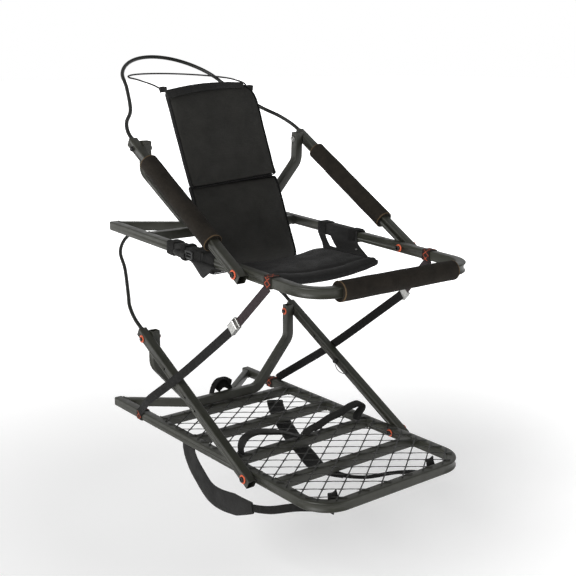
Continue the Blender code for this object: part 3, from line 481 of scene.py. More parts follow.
def turned(name, profile, segments, centre, axis, mat, hexagon=(), angle=38.0):
    return new_object(name, turned_mesh(profile, segments, centre, axis, hexagon), mat, angle)


def smooth_route(points, count):
    """Points at even steps along a Catmull-Rom curve through a route."""
    route = [Vector(p) for p in points]
    route = [route[0] * 2 - route[1]] + route + [route[-1] * 2 - route[-2]]
    dense = []
    for a, b, c, d in zip(route, route[1:], route[2:], route[3:]):
        for step in range(24):
            t = step / 24
            dense.append(0.5 * ((2 * b) + (c - a) * t + (2 * a - 5 * b + 4 * c - d) * t * t
                                + (3 * b - a - 3 * c + d) * t ** 3))
    dense.append(route[-2])
    lengths = [0.0]
    for a, b in zip(dense, dense[1:]):
        lengths.append(lengths[-1] + (b - a).length)
    result = []
    at = 0
    for step in range(count):
        target = lengths[-1] * step / (count - 1)
        while at < len(lengths) - 2 and lengths[at + 1] < target:
            at += 1
        span = lengths[at + 1] - lengths[at]
        result.append(dense[at].lerp(dense[at + 1], (target - lengths[at]) / span if span else 0.0))
    return result


def rod(name, points, radius, segments, mat, scales=None, closed=False):
    """Round rod along a path, without twist."""
    bm = bmesh.new()
    count = len(points)
    tangents = []
    for i in range(count):
        if closed:
            tangents.append((points[(i + 1) % count] - points[i - 1]).normalized())
        else:
            tangents.append((points[min(i + 1, count - 1)] - points[max(i - 1, 0)]).normalized())
    side = tangents[0].orthogonal().normalized()
    rings = []
    for i, point in enumerate(points):
        if i > 0:
            side = tangents[i - 1].rotation_difference(tangents[i]) @ side
        side = (side - tangents[i] * side.dot(tangents[i])).normalized()
        other = tangents[i].cross(side)
        reach = radius * (scales[i] if scales else 1.0)
        ring = []
        for step in range(segments):
            angle = 2 * math.pi * step / segments
            ring.append(bm.verts.new(point + (side * math.cos(angle) + other * math.sin(angle)) * reach))
        rings.append(ring)
    skin(bm, rings, closed)
    if not closed:
        close_ends(bm, rings)
    return new_object(name, bm, mat, 60.0)


def strap(name, points, widths, across, thickness, mat, closed=False, columns=6):
    """Webbing: a flat band with rounded edges, and UVs in metres across and along it."""
    bm = bmesh.new()
    uv_layer = bm.loops.layers.uv.new("UVMap")
    count = len(points)
    edge = thickness / 2
    rings = []
    along_at = [0.0]
    for a, b in zip(points, points[1:]):
        along_at.append(along_at[-1] + (b - a).length)
    for i, point in enumerate(points):
        if closed:
            along = (points[(i + 1) % count] - points[i - 1]).normalized()
        else:
            along = (points[min(i + 1, count - 1)] - points[max(i - 1, 0)]).normalized()
        wide = Vector(across[i])
        wide = (wide - along * wide.dot(along)).normalized()
        through = along.cross(wide).normalized()
        half = widths[i] / 2
        top = [(-half + 2 * half * c / columns) for c in range(columns + 1)]
        ring = []
        for w in top:
            ease = 0.45 if abs(w) > half * 0.99 else 1.0
            ring.append((w, edge * ease))
        for w in reversed(top):
            ease = 0.45 if abs(w) > half * 0.99 else 1.0
            ring.append((w, -edge * ease))
        rings.append([(bm.verts.new(point + wide * w + through * t), w) for w, t in ring])
    pairs = [(i, i + 1) for i in range(count - 1)]
    if closed:
        pairs.append((count - 1, 0))
    size = len(rings[0])
    for a, b in pairs:
        for i in range(size):
            j = (i + 1) % size
            quad = ((rings[a][i], a), (rings[a][j], a), (rings[b][j], a + 1), (rings[b][i], a + 1))
            face = bm.faces.new([v[0] for v, _ in quad])
            for loop, (vert, row) in zip(face.loops, quad):
                v_at = along_at[row] if row < count else along_at[-1] + (points[0] - points[-1]).length
                loop[uv_layer].uv = (vert[1], v_at)
    if not closed:
        bm.faces.new([v for v, _ in reversed(rings[0])])
        bm.faces.new([v for v, _ in rings[-1]])
    return new_object(name, bm, mat, 50.0)


def side_facing(points):
    """Width directions for a strap whose flat sides face left and right."""
    last = len(points) - 1
    return [Vector((1, 0, 0)).cross(points[min(i + 1, last)] - points[max(i - 1, 0)]) for i in range(last + 1)]


def finish(obj, body, slot, *nodes):
    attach(obj, body)
    if nodes:
        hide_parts(*nodes)
    return obj


def band(name, points, width, across, thickness, mat, body, slot, *nodes, closed=False):
    """Strap of one width, and one width direction, set on a body."""
    count = len(points)
    return finish(strap(name, points, [width] * count, [across] * count, thickness, MATS[mat], closed), body, slot,
                  *nodes)


# ---------------------------------------------------------------- camera, floor, lights
CAMERA_PLACE = (-1.606, -2.584, 1.013)
CAMERA_PITCH = 13.12  # degrees below level
CAMERA_YAW = -38.19
CAMERA_LENS = 61.34

camera_data = bpy.data.cameras.new("camera")
camera = bpy.data.objects.new("camera", camera_data)
bpy.context.scene.collection.objects.link(camera)
camera_data.sensor_width = 36.0
camera_data.lens = CAMERA_LENS
camera.location = CAMERA_PLACE
camera.rotation_euler = (math.radians(90 - CAMERA_PITCH), 0.0, math.radians(CAMERA_YAW))
bpy.context.scene.camera = camera

FLOOR_Z = -0.42
FLOOR_REACH = 60
floor_corners = [(x * FLOOR_REACH, y * FLOOR_REACH, FLOOR_Z) for x, y in ((-1, -1), (1, -1), (1, 1), (-1, 1))]
floor_mesh = bpy.data.meshes.new("floor")
floor_mesh.from_pydata(floor_corners, [], [(0, 1, 2, 3)])
floor = bpy.data.objects.new("floor", floor_mesh)
bpy.context.scene.collection.objects.link(floor)
floor_nodes = Nodes("pale_floor")
floor_nodes.color(floor_nodes.ramp(floor_nodes.noise(floor_nodes.coords(), 1.5, 3.0),
                                   [(0.3, (0.90, 0.90, 0.90)), (0.7, (0.93, 0.93, 0.93))]))
floor_nodes.set(Roughness=0.9)
floor_far = floor_nodes.add("ShaderNodeVectorMath", operation="LENGTH")
floor_nodes.link(floor_nodes.coords(), floor_far.inputs[0])
floor_glow = floor_nodes.spread(floor_far.outputs["Value"], 0.12, 1.0, 0.6, 4.0)
floor_nodes.link(floor_glow, floor_nodes.shader.inputs["Emission Strength"])
floor_nodes.shader.inputs["Emission Color"].default_value = (1.0, 1.0, 1.0, 1.0)
floor_mesh.materials.append(floor_nodes.mat)

bpy.context.scene.view_settings.view_transform = "Standard"
world = bpy.data.worlds.new("studio")
bpy.context.scene.world = world
world.use_nodes = True
sky = world.node_tree
sky_coords = sky.nodes.new("ShaderNodeTexCoord")
sky_levels = []
for sky_axis, low_in, high_in, low_out, high_out in (((0.618, 0.786, 0.0), 0.0, 0.6, 0.34, 1.0),
                                                     ((0.0, 0.0, 1.0), 0.10, 0.75, 1.0, 0.42)):
    sky_dot = sky.nodes.new("ShaderNodeVectorMath")
    sky_dot.operation = "DOT_PRODUCT"
    sky_dot.inputs[1].default_value = sky_axis
    sky_level = sky.nodes.new("ShaderNodeMapRange")
    for socket, value in zip(("From Min", "From Max", "To Min", "To Max"), (low_in, high_in, low_out, high_out)):
        sky_level.inputs[socket].default_value = value
    sky.links.new(sky_coords.outputs["Generated"], sky_dot.inputs[0])
    sky.links.new(sky_dot.outputs["Value"], sky_level.inputs["Value"])
    sky_levels.append(sky_level)
sky_both = sky.nodes.new("ShaderNodeMath")
sky_both.operation = "MULTIPLY"
sky.links.new(sky_levels[0].outputs["Result"], sky_both.inputs[0])
sky.links.new(sky_levels[1].outputs["Result"], sky_both.inputs[1])
sky.links.new(sky_both.outputs[0], sky.nodes["Background"].inputs["Strength"])
sky.nodes["Background"].inputs["Color"].default_value = (1.0, 1.0, 1.0, 1.0)


def add_light(name, kind, place, target, size, power):
    data = bpy.data.lights.new(name, kind)
    data.energy = power
    if kind == "SUN":
        data.angle = size
    else:
        data.shape = "DISK"
        data.size = size
    light = bpy.data.objects.new(name, data)
    light.location = place
    light.rotation_euler = (Vector(target) - Vector(place)).to_track_quat("-Z", "Y").to_euler()
    bpy.context.scene.collection.objects.link(light)


add_light("key", "SUN", (-3.0, -0.7, 1.7), (0, 0, 0), math.radians(38), 3.0)
add_light("fill", "AREA", (1.4, -3.6, 1.2), (0, -0.4, 0.3), 2.4, 14.0)

# ---------------------------------------------------------------- bungee cord
BACK_LOW = (0.590, -0.102)
BACK_SEAM = (0.686, 0.134)
BACK_TOP = (0.778, 0.392)
BACK_HALF = 0.149
LEAN = (0.0, -0.006, -0.026)  # sideways shift of the back at its foot, seam and top
BUNGEE_RADIUS = 0.0024
BUNGEE_END_IN = 0.004  # in from the panel's edge
BUNGEE_LOOP_Z = 0.400


def build_bungee():
    trunk_y = CABLE_LOOPS["seat"][1]
    left, right = [(LEAN[2] + sign * (BACK_HALF - BUNGEE_END_IN), BACK_TOP[0] + 0.021, BACK_TOP[1] - 0.010)
                   for sign in (-1, 1)]
    ring = []
    for degrees in range(-16, 197, 18):
        angle = math.radians(degrees)
        ring.append((BUNGEE_LOOP * math.cos(angle), trunk_y + BUNGEE_LOOP * math.sin(angle),
                     BUNGEE_LOOP_Z + 0.006 * math.sin(angle)))
    route = [right, (0.150, 0.860, 0.392)] + ring + [(-0.168, 0.860, 0.392), left]
    points = smooth_route([on_seat(*p) for p in route], 90)
    length = sum((b - a).length for a, b in zip(points, points[1:]))
    cord = rod("bungee", points, BUNGEE_RADIUS, 10, MATS["bungee"])
    finish(cord, "seat", "bungee_cord", "bungee_cord")
    tuple(points[0])
    [tuple(p) for p in points]


build_bungee()


# ---------------------------------------------------------------- steel frames
def bead(name, corners, per_side, body):
    """Uneven weld bead along a closed outline of corners."""
    points = []
    for k, corner in enumerate(corners):
        points += [corner.lerp(corners[(k + 1) % len(corners)], step / per_side) for step in range(per_side)]
    scales = [1.0 + 0.30 * noise.noise(point * 260.0) for point in points]
    finish(rod(name, points, 0.0017, 7, MATS["weld"], scales, closed=True), body, "coated_steel")


def weld(name, centre, axis, up, body):
    """Weld bead round the end of a square bar."""
    side = Vector(axis).cross(up).normalized() * (TUBE / 2)
    rise = up.normalized() * (TUBE / 2)
    bead(name, [centre - side + rise, centre + side + rise, centre + side - rise, centre - side - rise], 9, body)


def build_frames():
    for sec, body in ((PLATFORM, "platform"), (SEAT, "seat")):
        place = sec.place
        up = sec.direction(0, 0, 1)
        side = sec.half - TUBE / 2
        front = TUBE / 2
        corners = [(-side, sec.depth), (-side, front), (side, front), (side, sec.depth)]
        path = fillet_path([(x, y, -TUBE / 2) for x, y in corners], BEND_RADIUS, 12)
        path = [(place(*p), share) for p, share in path]
        obj = square_tube(f"{sec.prefix}_frame_tube", path, up, -1, 0.0042)
        cut_holes(obj, [(place(sign * side, sec.pivot.y, sec.pivot.z), (1, 0, 0), 0.0043, 0.05) for sign in (-1, 1)])
        finish(obj, body, "coated_steel", f"{sec.prefix}_frame")

        inner_y = sec.rear_y + TUBE / 2 + 0.0003 + V_WIDTH / 2 * math.sqrt(1 + sec.v_slope ** 2)
        outer_x = sec.half - TUBE - 0.0003
        outer_y = inner_y + outer_x * sec.v_slope
        path = [(place(x, y, -TUBE / 2), 0.0) for x, y in ((-outer_x, outer_y), (0.0, inner_y), (outer_x, outer_y))]
        back = sec.direction(0, 1, 0)
        obj = square_tube(f"{sec.prefix}_v_tube", path, up, width=V_WIDTH, end_cuts=(back, back))
        finish(obj, body, "coated_steel", f"{sec.prefix}_v_bar")

        bars = {f"{sec.prefix}_rear_bar": sec.rear_y}
        if sec is PLATFORM:
            step = (sec.rear_y - TUBE / 2) / 4
            for number in (1, 2, 3):
                bars[f"platform_cross_bar_{number}"] = TUBE / 2 + step * number
        for node, y in bars.items():
            path = [(place(-outer_x, y, -TUBE / 2), 0.0), (place(outer_x, y, -TUBE / 2), 0.0)]
            finish(square_tube(node + "_tube", path, up), body, "coated_steel", node)
            for sign, name in ((-1, "l"), (1, "r")):
                weld(f"{node}_weld_{name}", place(sign * outer_x, y, -TUBE / 2), (1, 0, 0), up, body)
        for sign, name in ((-1, "l"), (1, "r")):
            corners = [place(sign * outer_x, outer_y + dy, -TUBE / 2 + dz)
                       for dy, dz in ((-0.0125, 0.0127), (0.0125, 0.0127), (0.0125, -0.0127), (-0.0125, -0.0127))]
            bead(f"{sec.prefix}_v_weld_{name}", corners, 8, body)


def build_arms_and_hoops():
    for sec, pins in ((PLATFORM, (0.247, 0.300, 0.416)), (SEAT, ())):
        body = f"{sec.prefix}_arms"
        for side, sign in (("left", -1), ("right", 1)):
            x = sign * sec.arm_x
            low = sec.arm_point(-ARM_END_LOW, 0, x)
            high = sec.arm_point(sec.arm_length + ARM_END_HIGH, 0, x)
            obj = square_tube(f"{sec.prefix}_arm_tube_{side}", [(low, 0.0), (high, 0.0)], (1, 0, 0))
            holes = [(sec.arm_point(0, 0, x), (1, 0, 0), 0.0043, 0.04),
                     (sec.arm_point(sec.arm_length, -BOLT_DROP, x), (1, 0, 0), 0.0036, 0.04)]
            holes += [(sec.arm_point(along, 0, x), (1, 0, 0), 0.0038, 0.04) for along in pins]
            cut_holes(obj, holes)
            finish(obj, body, "coated_steel", f"{sec.prefix}_arm_{side}")

        base = TUBE / 2 + HOOP_GAP
        half_route = [(sec.hoop_x, sec.top.z + 0.016), (sec.hoop_x, sec.corner_z), (sec.corner_x, base)]
        corners = [(-x, sec.top.y, z) for x, z in half_route] + [(x, sec.top.y, z) for x, z in reversed(half_route)]
        path = [(sec.place(*p), share) for p, share in fillet_path(corners, 0.04, 8, 0.022)]
        obj = square_tube(f"{sec.prefix}_hoop_tube", path, sec.direction(0, 1, 0), 1, 0.0046)
        bolt_y, bolt_z = sec.hoop_bolt.y, sec.hoop_bolt.z
        cut_holes(obj, [(sec.place(sign * sec.hoop_x, bolt_y, bolt_z), (1, 0, 0), 0.0036, 0.05) for sign in (-1, 1)])
        finish(obj, f"{sec.prefix}_hoop", "coated_steel", f"{sec.prefix}_hoop")


def build_bolts():
    """Pivot bolts through arm and rail, and the two halves of each upper hoop bolt."""
    for sec in (PLATFORM, SEAT):
        on_deck = sec is PLATFORM
        bright = "dark_bolt" if on_deck else "zinc"
        ring_slot = "orange_nylon" if on_deck else "zinc_steel"
        start = sec.half - TUBE - 0.0010
        end = sec.arm_x + TUBE / 2 + 0.0004
        leg_in = sec.hoop_x - TUBE / 2 - 0.0004
        leg_out = sec.hoop_x + TUBE / 2 - 0.0004
        arm_in = sec.arm_x - TUBE / 2 + 0.0004
        radius = 0.0110 if on_deck else 0.0075
        hoop_ring = "orange" if on_deck else "zinc"
        arm_ring = "orange" if on_deck else "dark_bolt"
        frame_body, hoop_body, arm_body = sec.prefix, f"{sec.prefix}_hoop", f"{sec.prefix}_arms"
        pivot_parts = (
            ("washer_in", 40, "orange", frame_body, "orange_nylon", (), "pivot_bolt",
             [(start - 0.0018, 0.0098), (start - 0.0014, 0.0104), (start - 0.0002, 0.0104), (start, 0.0100)]),
            ("washer_out", 40, "orange", frame_body, "orange_nylon", (), "pivot_bolt",
             [(end, 0.0112), (end + 0.0003, 0.0117), (end + 0.0014, 0.0117), (end + 0.0018, 0.0110)]),
            ("head", 36, "dark_bolt", frame_body, "zinc_steel", (1, 2, 3), None,
             [(end + 0.0016, 0.0078), (end + 0.0020, 0.0082), (end + 0.0058, 0.0074), (end + 0.0064, 0.0062),
              (end + 0.0064, 0.0036), (end + 0.0044, 0.0034)]),
            ("nut", 36, "dark_bolt", frame_body, "zinc_steel", (1, 2, 3), None,
             [(start - 0.0082, 0.0030), (start - 0.0080, 0.0058), (start - 0.0072, 0.0072), (start - 0.0020, 0.0074)]),
            ("shaft", 20, "dark_bolt", frame_body, "zinc_steel", (), None,
             [(start - 0.0082, 0.0038), (end + 0.0020, 0.0038)]))
        top_parts = (
            ("washer_in", 36, hoop_ring, hoop_body, ring_slot, (), "hoop_nut",
             [(leg_in - 0.0015, radius - 0.0006), (leg_in - 0.0012, radius), (leg_in, radius)]),
            ("nut", 36, bright, hoop_body, "zinc_steel", (2, 3), None,
             [(leg_in - 0.0070, 0.0034), (leg_in - 0.0066, 0.0054), (leg_in - 0.0058, 0.0062),
              (leg_in - 0.0014, 0.0064)]),
            ("stub", 20, bright, hoop_body, "zinc_steel", (), None, [(leg_in - 0.0020, 0.0032), (leg_out, 0.0032)]),
            ("washer_out", 36, arm_ring, arm_body, ring_slot, (), "hoop_bolt",
             [(end, radius), (end + 0.0012, radius), (end + 0.0015, radius - 0.0006)]),
            ("head", 36, "dark_bolt", arm_body, "zinc_steel", (0, 1), None,
             [(end + 0.0013, 0.0064), (end + 0.0040, 0.0062), (end + 0.0050, 0.0052), (end + 0.0054, 0.0036)]),
            ("shaft", 20, "dark_bolt", arm_body, "zinc_steel", (), None, [(arm_in, 0.0032), (end + 0.0020, 0.0032)]))
        for place_name, point, parts in (("pivot", sec.pivot, pivot_parts), ("top", sec.hoop_bolt, top_parts)):
            for side, sign in (("left", -1), ("right", 1)):
                centre = sec.place(0, point.y, point.z)
                for tag, segments, mat, body, slot, hexagon, node, profile in parts:
                    part = turned(f"{sec.prefix}_{place_name}_{side}_{tag}", profile, segments, centre, (sign, 0, 0),
                                  MATS[mat], hexagon)
                    finish(part, body, slot, *([f"{sec.prefix}_{node}_{side}"] if node else []))


def build_cables():
    for sec in (PLATFORM, SEAT):
        rise = sec.arm_dir.z / sec.arm_dir.y
        loop, trunk_y = CABLE_LOOPS[sec.prefix]
        base = sec.pivot + sec.arm_up * CABLE_LIFT

        def lifted(x, y, base=base, rise=rise):
            return (x, y, base.z + (y - base.y) * rise)

        def along_y(distance, sec=sec):
            return (sec.pivot + sec.arm_dir * distance + sec.arm_up * CABLE_LIFT).y

        exit_y = along_y(sec.arm_length + ARM_END_HIGH)
        half = [lifted(sec.arm_x, along_y(sec.arm_length * f)) for f in (0.62, 0.78, 0.94)]
        half.append(lifted(sec.arm_x, exit_y))
        half += [lifted(sec.arm_x - inward, exit_y + onward) for inward, onward in CABLE_LEAVES[sec.prefix]]
        for degrees in (8, 30, 50, 70):
            angle = math.radians(degrees)
            half.append(lifted(loop * math.cos(angle), trunk_y + loop * math.sin(angle)))
        route = half + [lifted(0.0, trunk_y + loop)] + [(-x, y, z) for x, y, z in reversed(half)]
        points = smooth_route([sec.place(*p) for p in route], 150)
        exit_point = sec.place(*lifted(sec.arm_x, exit_y))
        scales = [0.69 if abs(p.x) > sec.arm_x - 0.004 and p.y < exit_point.y else 1.0 for p in points]
        cable = rod(f"{sec.prefix}_trunk_cable", points, CABLE_RADIUS, 20, MATS["cable"], scales)
        finish(cable, f"{sec.prefix}_arms", "cable_cover", f"{sec.prefix}_cable")
        for side, sign in (("left", -1), ("right", 1)):
            end = sec.arm_point(sec.arm_length + ARM_END_HIGH, CABLE_LIFT, sign * sec.arm_x)
            along = sec.place(*sec.arm_dir) - sec.place(0, 0, 0)
            collar = [(-0.004, 0.0064), (0.003, 0.0064), (0.0046, 0.0060), (0.0052, 0.0056)]
            finish(turned(f"{sec.prefix}_cable_collar_{side}", collar, 28, end, along, MATS["plastic"]),
                   f"{sec.prefix}_arms", "cable_cover")


build_frames()
build_arms_and_hoops()
build_bolts()
build_cables()

# ---------------------------------------------------------------- foam grips
FOAM_RADIUS = 0.0254


def build_grip(name, start, end, up, body, node):
    """Foam sleeve with rounded, lighter cut ends and soft dents."""
    along = (end - start).normalized()
    length = (end - start).length
    up = Vector(up).normalized()
    side = along.cross(up).normalized()
    hole = TUBE / 2 + 0.0006
    sections = [(0.0010, hole, True), (0.0004, FOAM_RADIUS - 0.0032, False), (0.0, FOAM_RADIUS - 0.0018, False),
                (0.0008, FOAM_RADIUS - 0.0004, False), (0.0026, FOAM_RADIUS, False)]
    middle = [(0.0026 + (length - 0.0052) * s / 26, FOAM_RADIUS, False) for s in range(1, 26)]
    sections += middle + [(length - at, radius, square) for at, radius, square in reversed(sections)]
    bm = bmesh.new()
    rings = []
    count = 48
    for at, radius, square in sections:
        ring = []
        for i in range(count):
            angle = 2 * math.pi * i / count
            cos_a = math.cos(angle)
            sin_a = math.sin(angle)
            reach = radius
            if square:
                reach = radius / max(abs(cos_a), abs(sin_a))
            point = start + along * at + (side * cos_a + up * sin_a) * reach
            if not square and 0.002 < at < length - 0.002:
                point += (side * cos_a + up * sin_a) * (noise.noise(point * 22.0) * 0.0009 - 0.0006)
            ring.append(bm.verts.new(point))
        rings.append(ring)
    skin(bm, rings)
    for i in range(count):
        j = (i + 1) % count
        bm.faces.new((rings[-1][i], rings[-1][j], rings[0][j], rings[0][i]))
    for face in bm.faces:
        middle = face.calc_center_median() - start
        at = middle.dot(along)
        from_axis = (middle - along * at).length
        face.material_index = 1 if min(at, length - at) < 0.0030 and from_axis > FOAM_RADIUS - 0.0024 else 0
    obj = new_object(name, bm, MATS["foam"], 50.0)
    obj.data.materials.append(MATS["foam_rim"])
    finish(obj, body, "grip_foam", node)


seat_up = SEAT.direction(0, 0, 1)
build_grip("front_grip_foam", on_seat(-0.187, TUBE / 2, -TUBE / 2), on_seat(0.187, TUBE / 2, -TUBE / 2), seat_up,
           "seat", "front_grip")
arm_up_world = on_seat(*SEAT.arm_up) - on_seat(0, 0, 0)
for grip_side, grip_sign in (("left", -1), ("right", 1)):
    build_grip(f"arm_grip_foam_{grip_side}", SEAT.arm_point(0.118, 0, grip_sign * SEAT.arm_x),
               SEAT.arm_point(0.462, 0, grip_sign * SEAT.arm_x), arm_up_world, "seat_arms", f"arm_grip_{grip_side}")

# ---------------------------------------------------------------- expanded mesh deck
MESH_LONG = 0.0725
MESH_SHORT = 0.0560
MESH_STRAND = 0.0030
MESH_THICK = 0.0019


def build_deck():
    """Expanded metal: each strand is a flat bar turned on its length between flat knuckles."""
    high_x = 0.2430
    low_y, high_y = 0.0120, 0.7380
    half_l = MESH_LONG / 2
    half_s = MESH_SHORT / 2
    bend = TUBE / 2 + BEND_RADIUS
    planes = [((-1, 0), high_x), ((1, 0), high_x), ((0, -1), -low_y), ((0, 1), high_y)]
    for degrees in (20, 45, 70):
        sin_a = math.sin(math.radians(degrees))
        cos_a = math.cos(math.radians(degrees))
        for sign in (-1, 1):
            point = (sign * (PLATFORM.half - bend + 0.075 * sin_a), bend - 0.075 * cos_a)
            planes.append(((sign * sin_a, -cos_a), sign * sin_a * point[0] - cos_a * point[1]))

    def clip(a, b):
        low, high = 0.0, 1.0
        for (nx, ny), limit in planes:
            da = nx * a[0] + ny * a[1] - limit
            db = nx * b[0] + ny * b[1] - limit
            if da > 0 and db > 0:
                return None
            if da > 0:
                low = max(low, da / (da - db))
            elif db > 0:
                high = min(high, da / (da - db))
        if high - low < 0.02:
            return None
        return low, high

    bm = bmesh.new()
    middle = 0.0003 + MESH_THICK / 2 + 0.0003
    columns = int(high_x / half_l) + 2
    rows = int((high_y - low_y) / half_s) + 2
    for i in range(-columns, columns + 1):
        for j in range(-2, rows + 2):
            if (i + j) % 2 == 0:
                continue
            a = (i * half_l, low_y + (j + 0.5) * half_s)
            for dj in (-1, 1):
                b = ((i + 1) * half_l, low_y + (j + dj + 0.5) * half_s)
                span = clip(a, b)
                if span is None:
                    continue
                start = Vector((a[0], a[1], 0.0))
                end = Vector((b[0], b[1], 0.0))
                along = (end - start).normalized()
                across = Vector((0, 0, 1)).cross(along)
                rings = []
                steps = 6
                for s in range(steps + 1):
                    t = span[0] + (span[1] - span[0]) * s / steps
                    swell = math.sin(math.pi * t)
                    tilt = math.radians(32.0) * swell * dj
                    centre = start.lerp(end, t) + Vector((0, 0, middle + 0.0006 * swell))
                    wide = across * math.cos(tilt) + Vector((0, 0, 1)) * math.sin(tilt)
                    thick = Vector((0, 0, 1)) * math.cos(tilt) - across * math.sin(tilt)
                    half_w = MESH_STRAND / 2 * (1.25 - 0.25 * swell)
                    ring = [bm.verts.new(on_platform(0, 0, 0) + centre + wide * w * half_w + thick * h * MESH_THICK / 2)
                            for w, h in ((-1, -1), (1, -1), (1, 1), (-1, 1))]
                    rings.append(ring)
                skin(bm, rings)
                close_ends(bm, rings)
    bmesh.ops.remove_doubles(bm, verts=bm.verts, dist=0.00001)
    obj = new_object("deck_mesh", bm, MATS["mesh"], 30.0)
    finish(obj, "platform", "coated_mesh", "platform_mesh")


build_deck()


# ---------------------------------------------------------------- padded cloth
INFLATE_FRAMES = 20


def inflate(obj, pressure, cap, pinned):
    """Blow a closed cushion up with cloth pressure, its border held, and cap how far a point may move."""
    before = [v.co.copy() for v in obj.data.vertices]
    group = obj.vertex_groups.new(name="border")
    group.add([v.index for v in obj.data.vertices if pinned(v.co)], 1.0, "ADD")
    cloth = obj.modifiers.new("cloth", "CLOTH")
    settings = cloth.settings
    settings.quality = 5
    settings.mass = 0.2
    settings.tension_stiffness = 20
    settings.compression_stiffness = 8
    settings.shear_stiffness = 8
    settings.bending_stiffness = 0.8
    settings.use_pressure = True
    settings.uniform_pressure_force = pressure
    settings.effector_weights.gravity = 0.0
    settings.vertex_group_mass = "border"
    cloth.point_cache.frame_start = 1
    cloth.point_cache.frame_end = INFLATE_FRAMES
    scene = bpy.context.scene
    for number in range(1, INFLATE_FRAMES + 1):
        scene.frame_set(number)
    graph = bpy.context.evaluated_depsgraph_get()
    blown = [v.co.copy() for v in obj.evaluated_get(graph).data.vertices]
    obj.modifiers.clear()
    obj.vertex_groups.clear()
    for vertex, start, end in zip(obj.data.vertices, before, blown):
        move = end - start
        if move.length > cap:
            move = move.normalized() * cap
        vertex.co = start + move
    scene.frame_set(1)


def remesh(obj, size):
    modifier = obj.modifiers.new("remesh", "REMESH")
    modifier.mode = "VOXEL"
    modifier.voxel_size = size
    graph = bpy.context.evaluated_depsgraph_get()
    graph.update()
    mesh = bpy.data.meshes.new_from_object(obj.evaluated_get(graph))
    obj.modifiers.clear()
    obj.data = mesh


def sheet_object(name, rows, thickness, mat, skip=None):
    """Cloth from a grid of points, with thickness; skip leaves cells out."""
    bm = bmesh.new()
    verts = [[bm.verts.new(p) for p in row] for row in rows]
    for i in range(len(rows) - 1):
        for j in range(len(rows[0]) - 1):
            if skip is not None and skip(i, j):
                continue
            bm.faces.new((verts[i][j], verts[i][j + 1], verts[i + 1][j + 1], verts[i + 1][j]))
    obj = new_object(name, bm, mat, 60.0)
    modifier = obj.modifiers.new("thick", "SOLIDIFY")
    modifier.thickness = thickness
    modifier.offset = 0.0
    modifier.use_even_offset = False
    return obj


def soft_outline(corners, steps=6):
    """Closed outline in (u, v) from corners given as (u, v, radius)."""
    outline = []
    count = len(corners)
    for k in range(count):
        before = Vector(corners[k - 1][:2])
        corner = Vector(corners[k][:2])
        after = Vector(corners[(k + 1) % count][:2])
        radius = corners[k][2]
        if radius == 0:
            outline.append(tuple(corner))
            continue
        start = corner + (before - corner).normalized() * radius
        end = corner + (after - corner).normalized() * radius
        for step in range(steps + 1):
            t = step / steps
            point = start * (1 - t) ** 2 + corner * (2 * t * (1 - t)) + end * t ** 2
            outline.append((point.x, point.y))
    return outline


def edge_distance(outline, u, v):
    """Distance from (u, v) to the outline."""
    best = 1.0
    for k in range(len(outline)):
        ax, ay = outline[k - 1]
        bx, by = outline[k]
        dx, dy = bx - ax, by - ay
        span = dx * dx + dy * dy
        t = 0.0 if span == 0 else min(1.0, max(0.0, ((u - ax) * dx + (v - ay) * dy) / span))
        best = min(best, math.hypot(u - ax - dx * t, v - ay - dy * t))
    return best


def cushion(name, place, outline, thick, mat, body, node, slot, pressure, cap, shape, tape):
    """Padded panel sewn round its border. place maps (u, v, w) to the row frame; w is the thickness."""
    middle_u = sum(u for u, _ in outline) / len(outline)
    middle_v = sum(v for _, v in outline) / len(outline)
    bm = bmesh.new()
    rings = []
    for w, shrink in ((-thick / 2, 0.90), (-thick / 2 + 0.004, 0.965), (0.0, 0.99), (thick / 2 - 0.004, 0.965),
                      (thick / 2, 0.90)):
        rings.append([bm.verts.new((middle_u + (u - middle_u) * shrink, middle_v + (v - middle_v) * shrink, w))
                      for u, v in outline])
    skin(bm, rings)
    close_ends(bm, rings)
    obj = new_object(name, bm, mat, 60.0)
    remesh(obj, 0.0055)
    inflate(obj, pressure, cap, lambda co: edge_distance(outline, co.x, co.y) < 0.0085)
    for vertex in obj.data.vertices:
        u, v, w = vertex.co
        vertex.co = place(u, v, shape(u, v, w))
    modifier = obj.modifiers.new("smooth", "SUBSURF")
    modifier.levels = 1
    modifier.render_levels = 1
    obj.data.materials.clear()
    obj.data.materials.append(mat)
    obj.data.shade_smooth()
    finish(obj, body, slot, node)

    points = []
    across = []
    for k in range(len(outline)):
        a = Vector(outline[k])
        b = Vector(outline[(k + 1) % len(outline)])
        cuts = max(1, int((b - a).length / 0.012))
        for step in range(cuts):
            u, v = a.lerp(b, step / cuts)
            u = middle_u + (u - middle_u) * 0.994
            v = middle_v + (v - middle_v) * 0.994
            w = shape(u, v, 0.0)
            points.append(place(u, v, w))
            across.append(place(u, v, w + 0.01) - place(u, v, w))
    binding = strap(name + "_binding", points, [tape] * len(points), across, 0.0030, MATS["binding"], True, 4)
    finish(binding, body, slot)


def cloth_folds(u, v, size):
    """Shallow folds and dimples for slack cloth."""
    fold = noise.noise(Vector((u * 9.0 + v * 4.0, v * 26.0 - u * 7.0, 1.7)))
    dimple = noise.noise(Vector((u * 24.0, v * 24.0, 4.1)))
    return size * (0.75 * fold + 0.35 * dimple)


def panel_frame(low, high, lean_low, lean_high):
    """Place function and height of a backrest panel between two points on the leaning back."""
    bottom = on_seat(lean_low, *low)
    top = on_seat(lean_high, *high)
    up = (top - bottom).normalized()
    right = Vector((1, 0, 0))
    right = (right - up * right.dot(up)).normalized()
    out = right.cross(up)

    def place(u, v, w):
        return bottom + right * u + up * v + out * w

    return place, (top - bottom).length


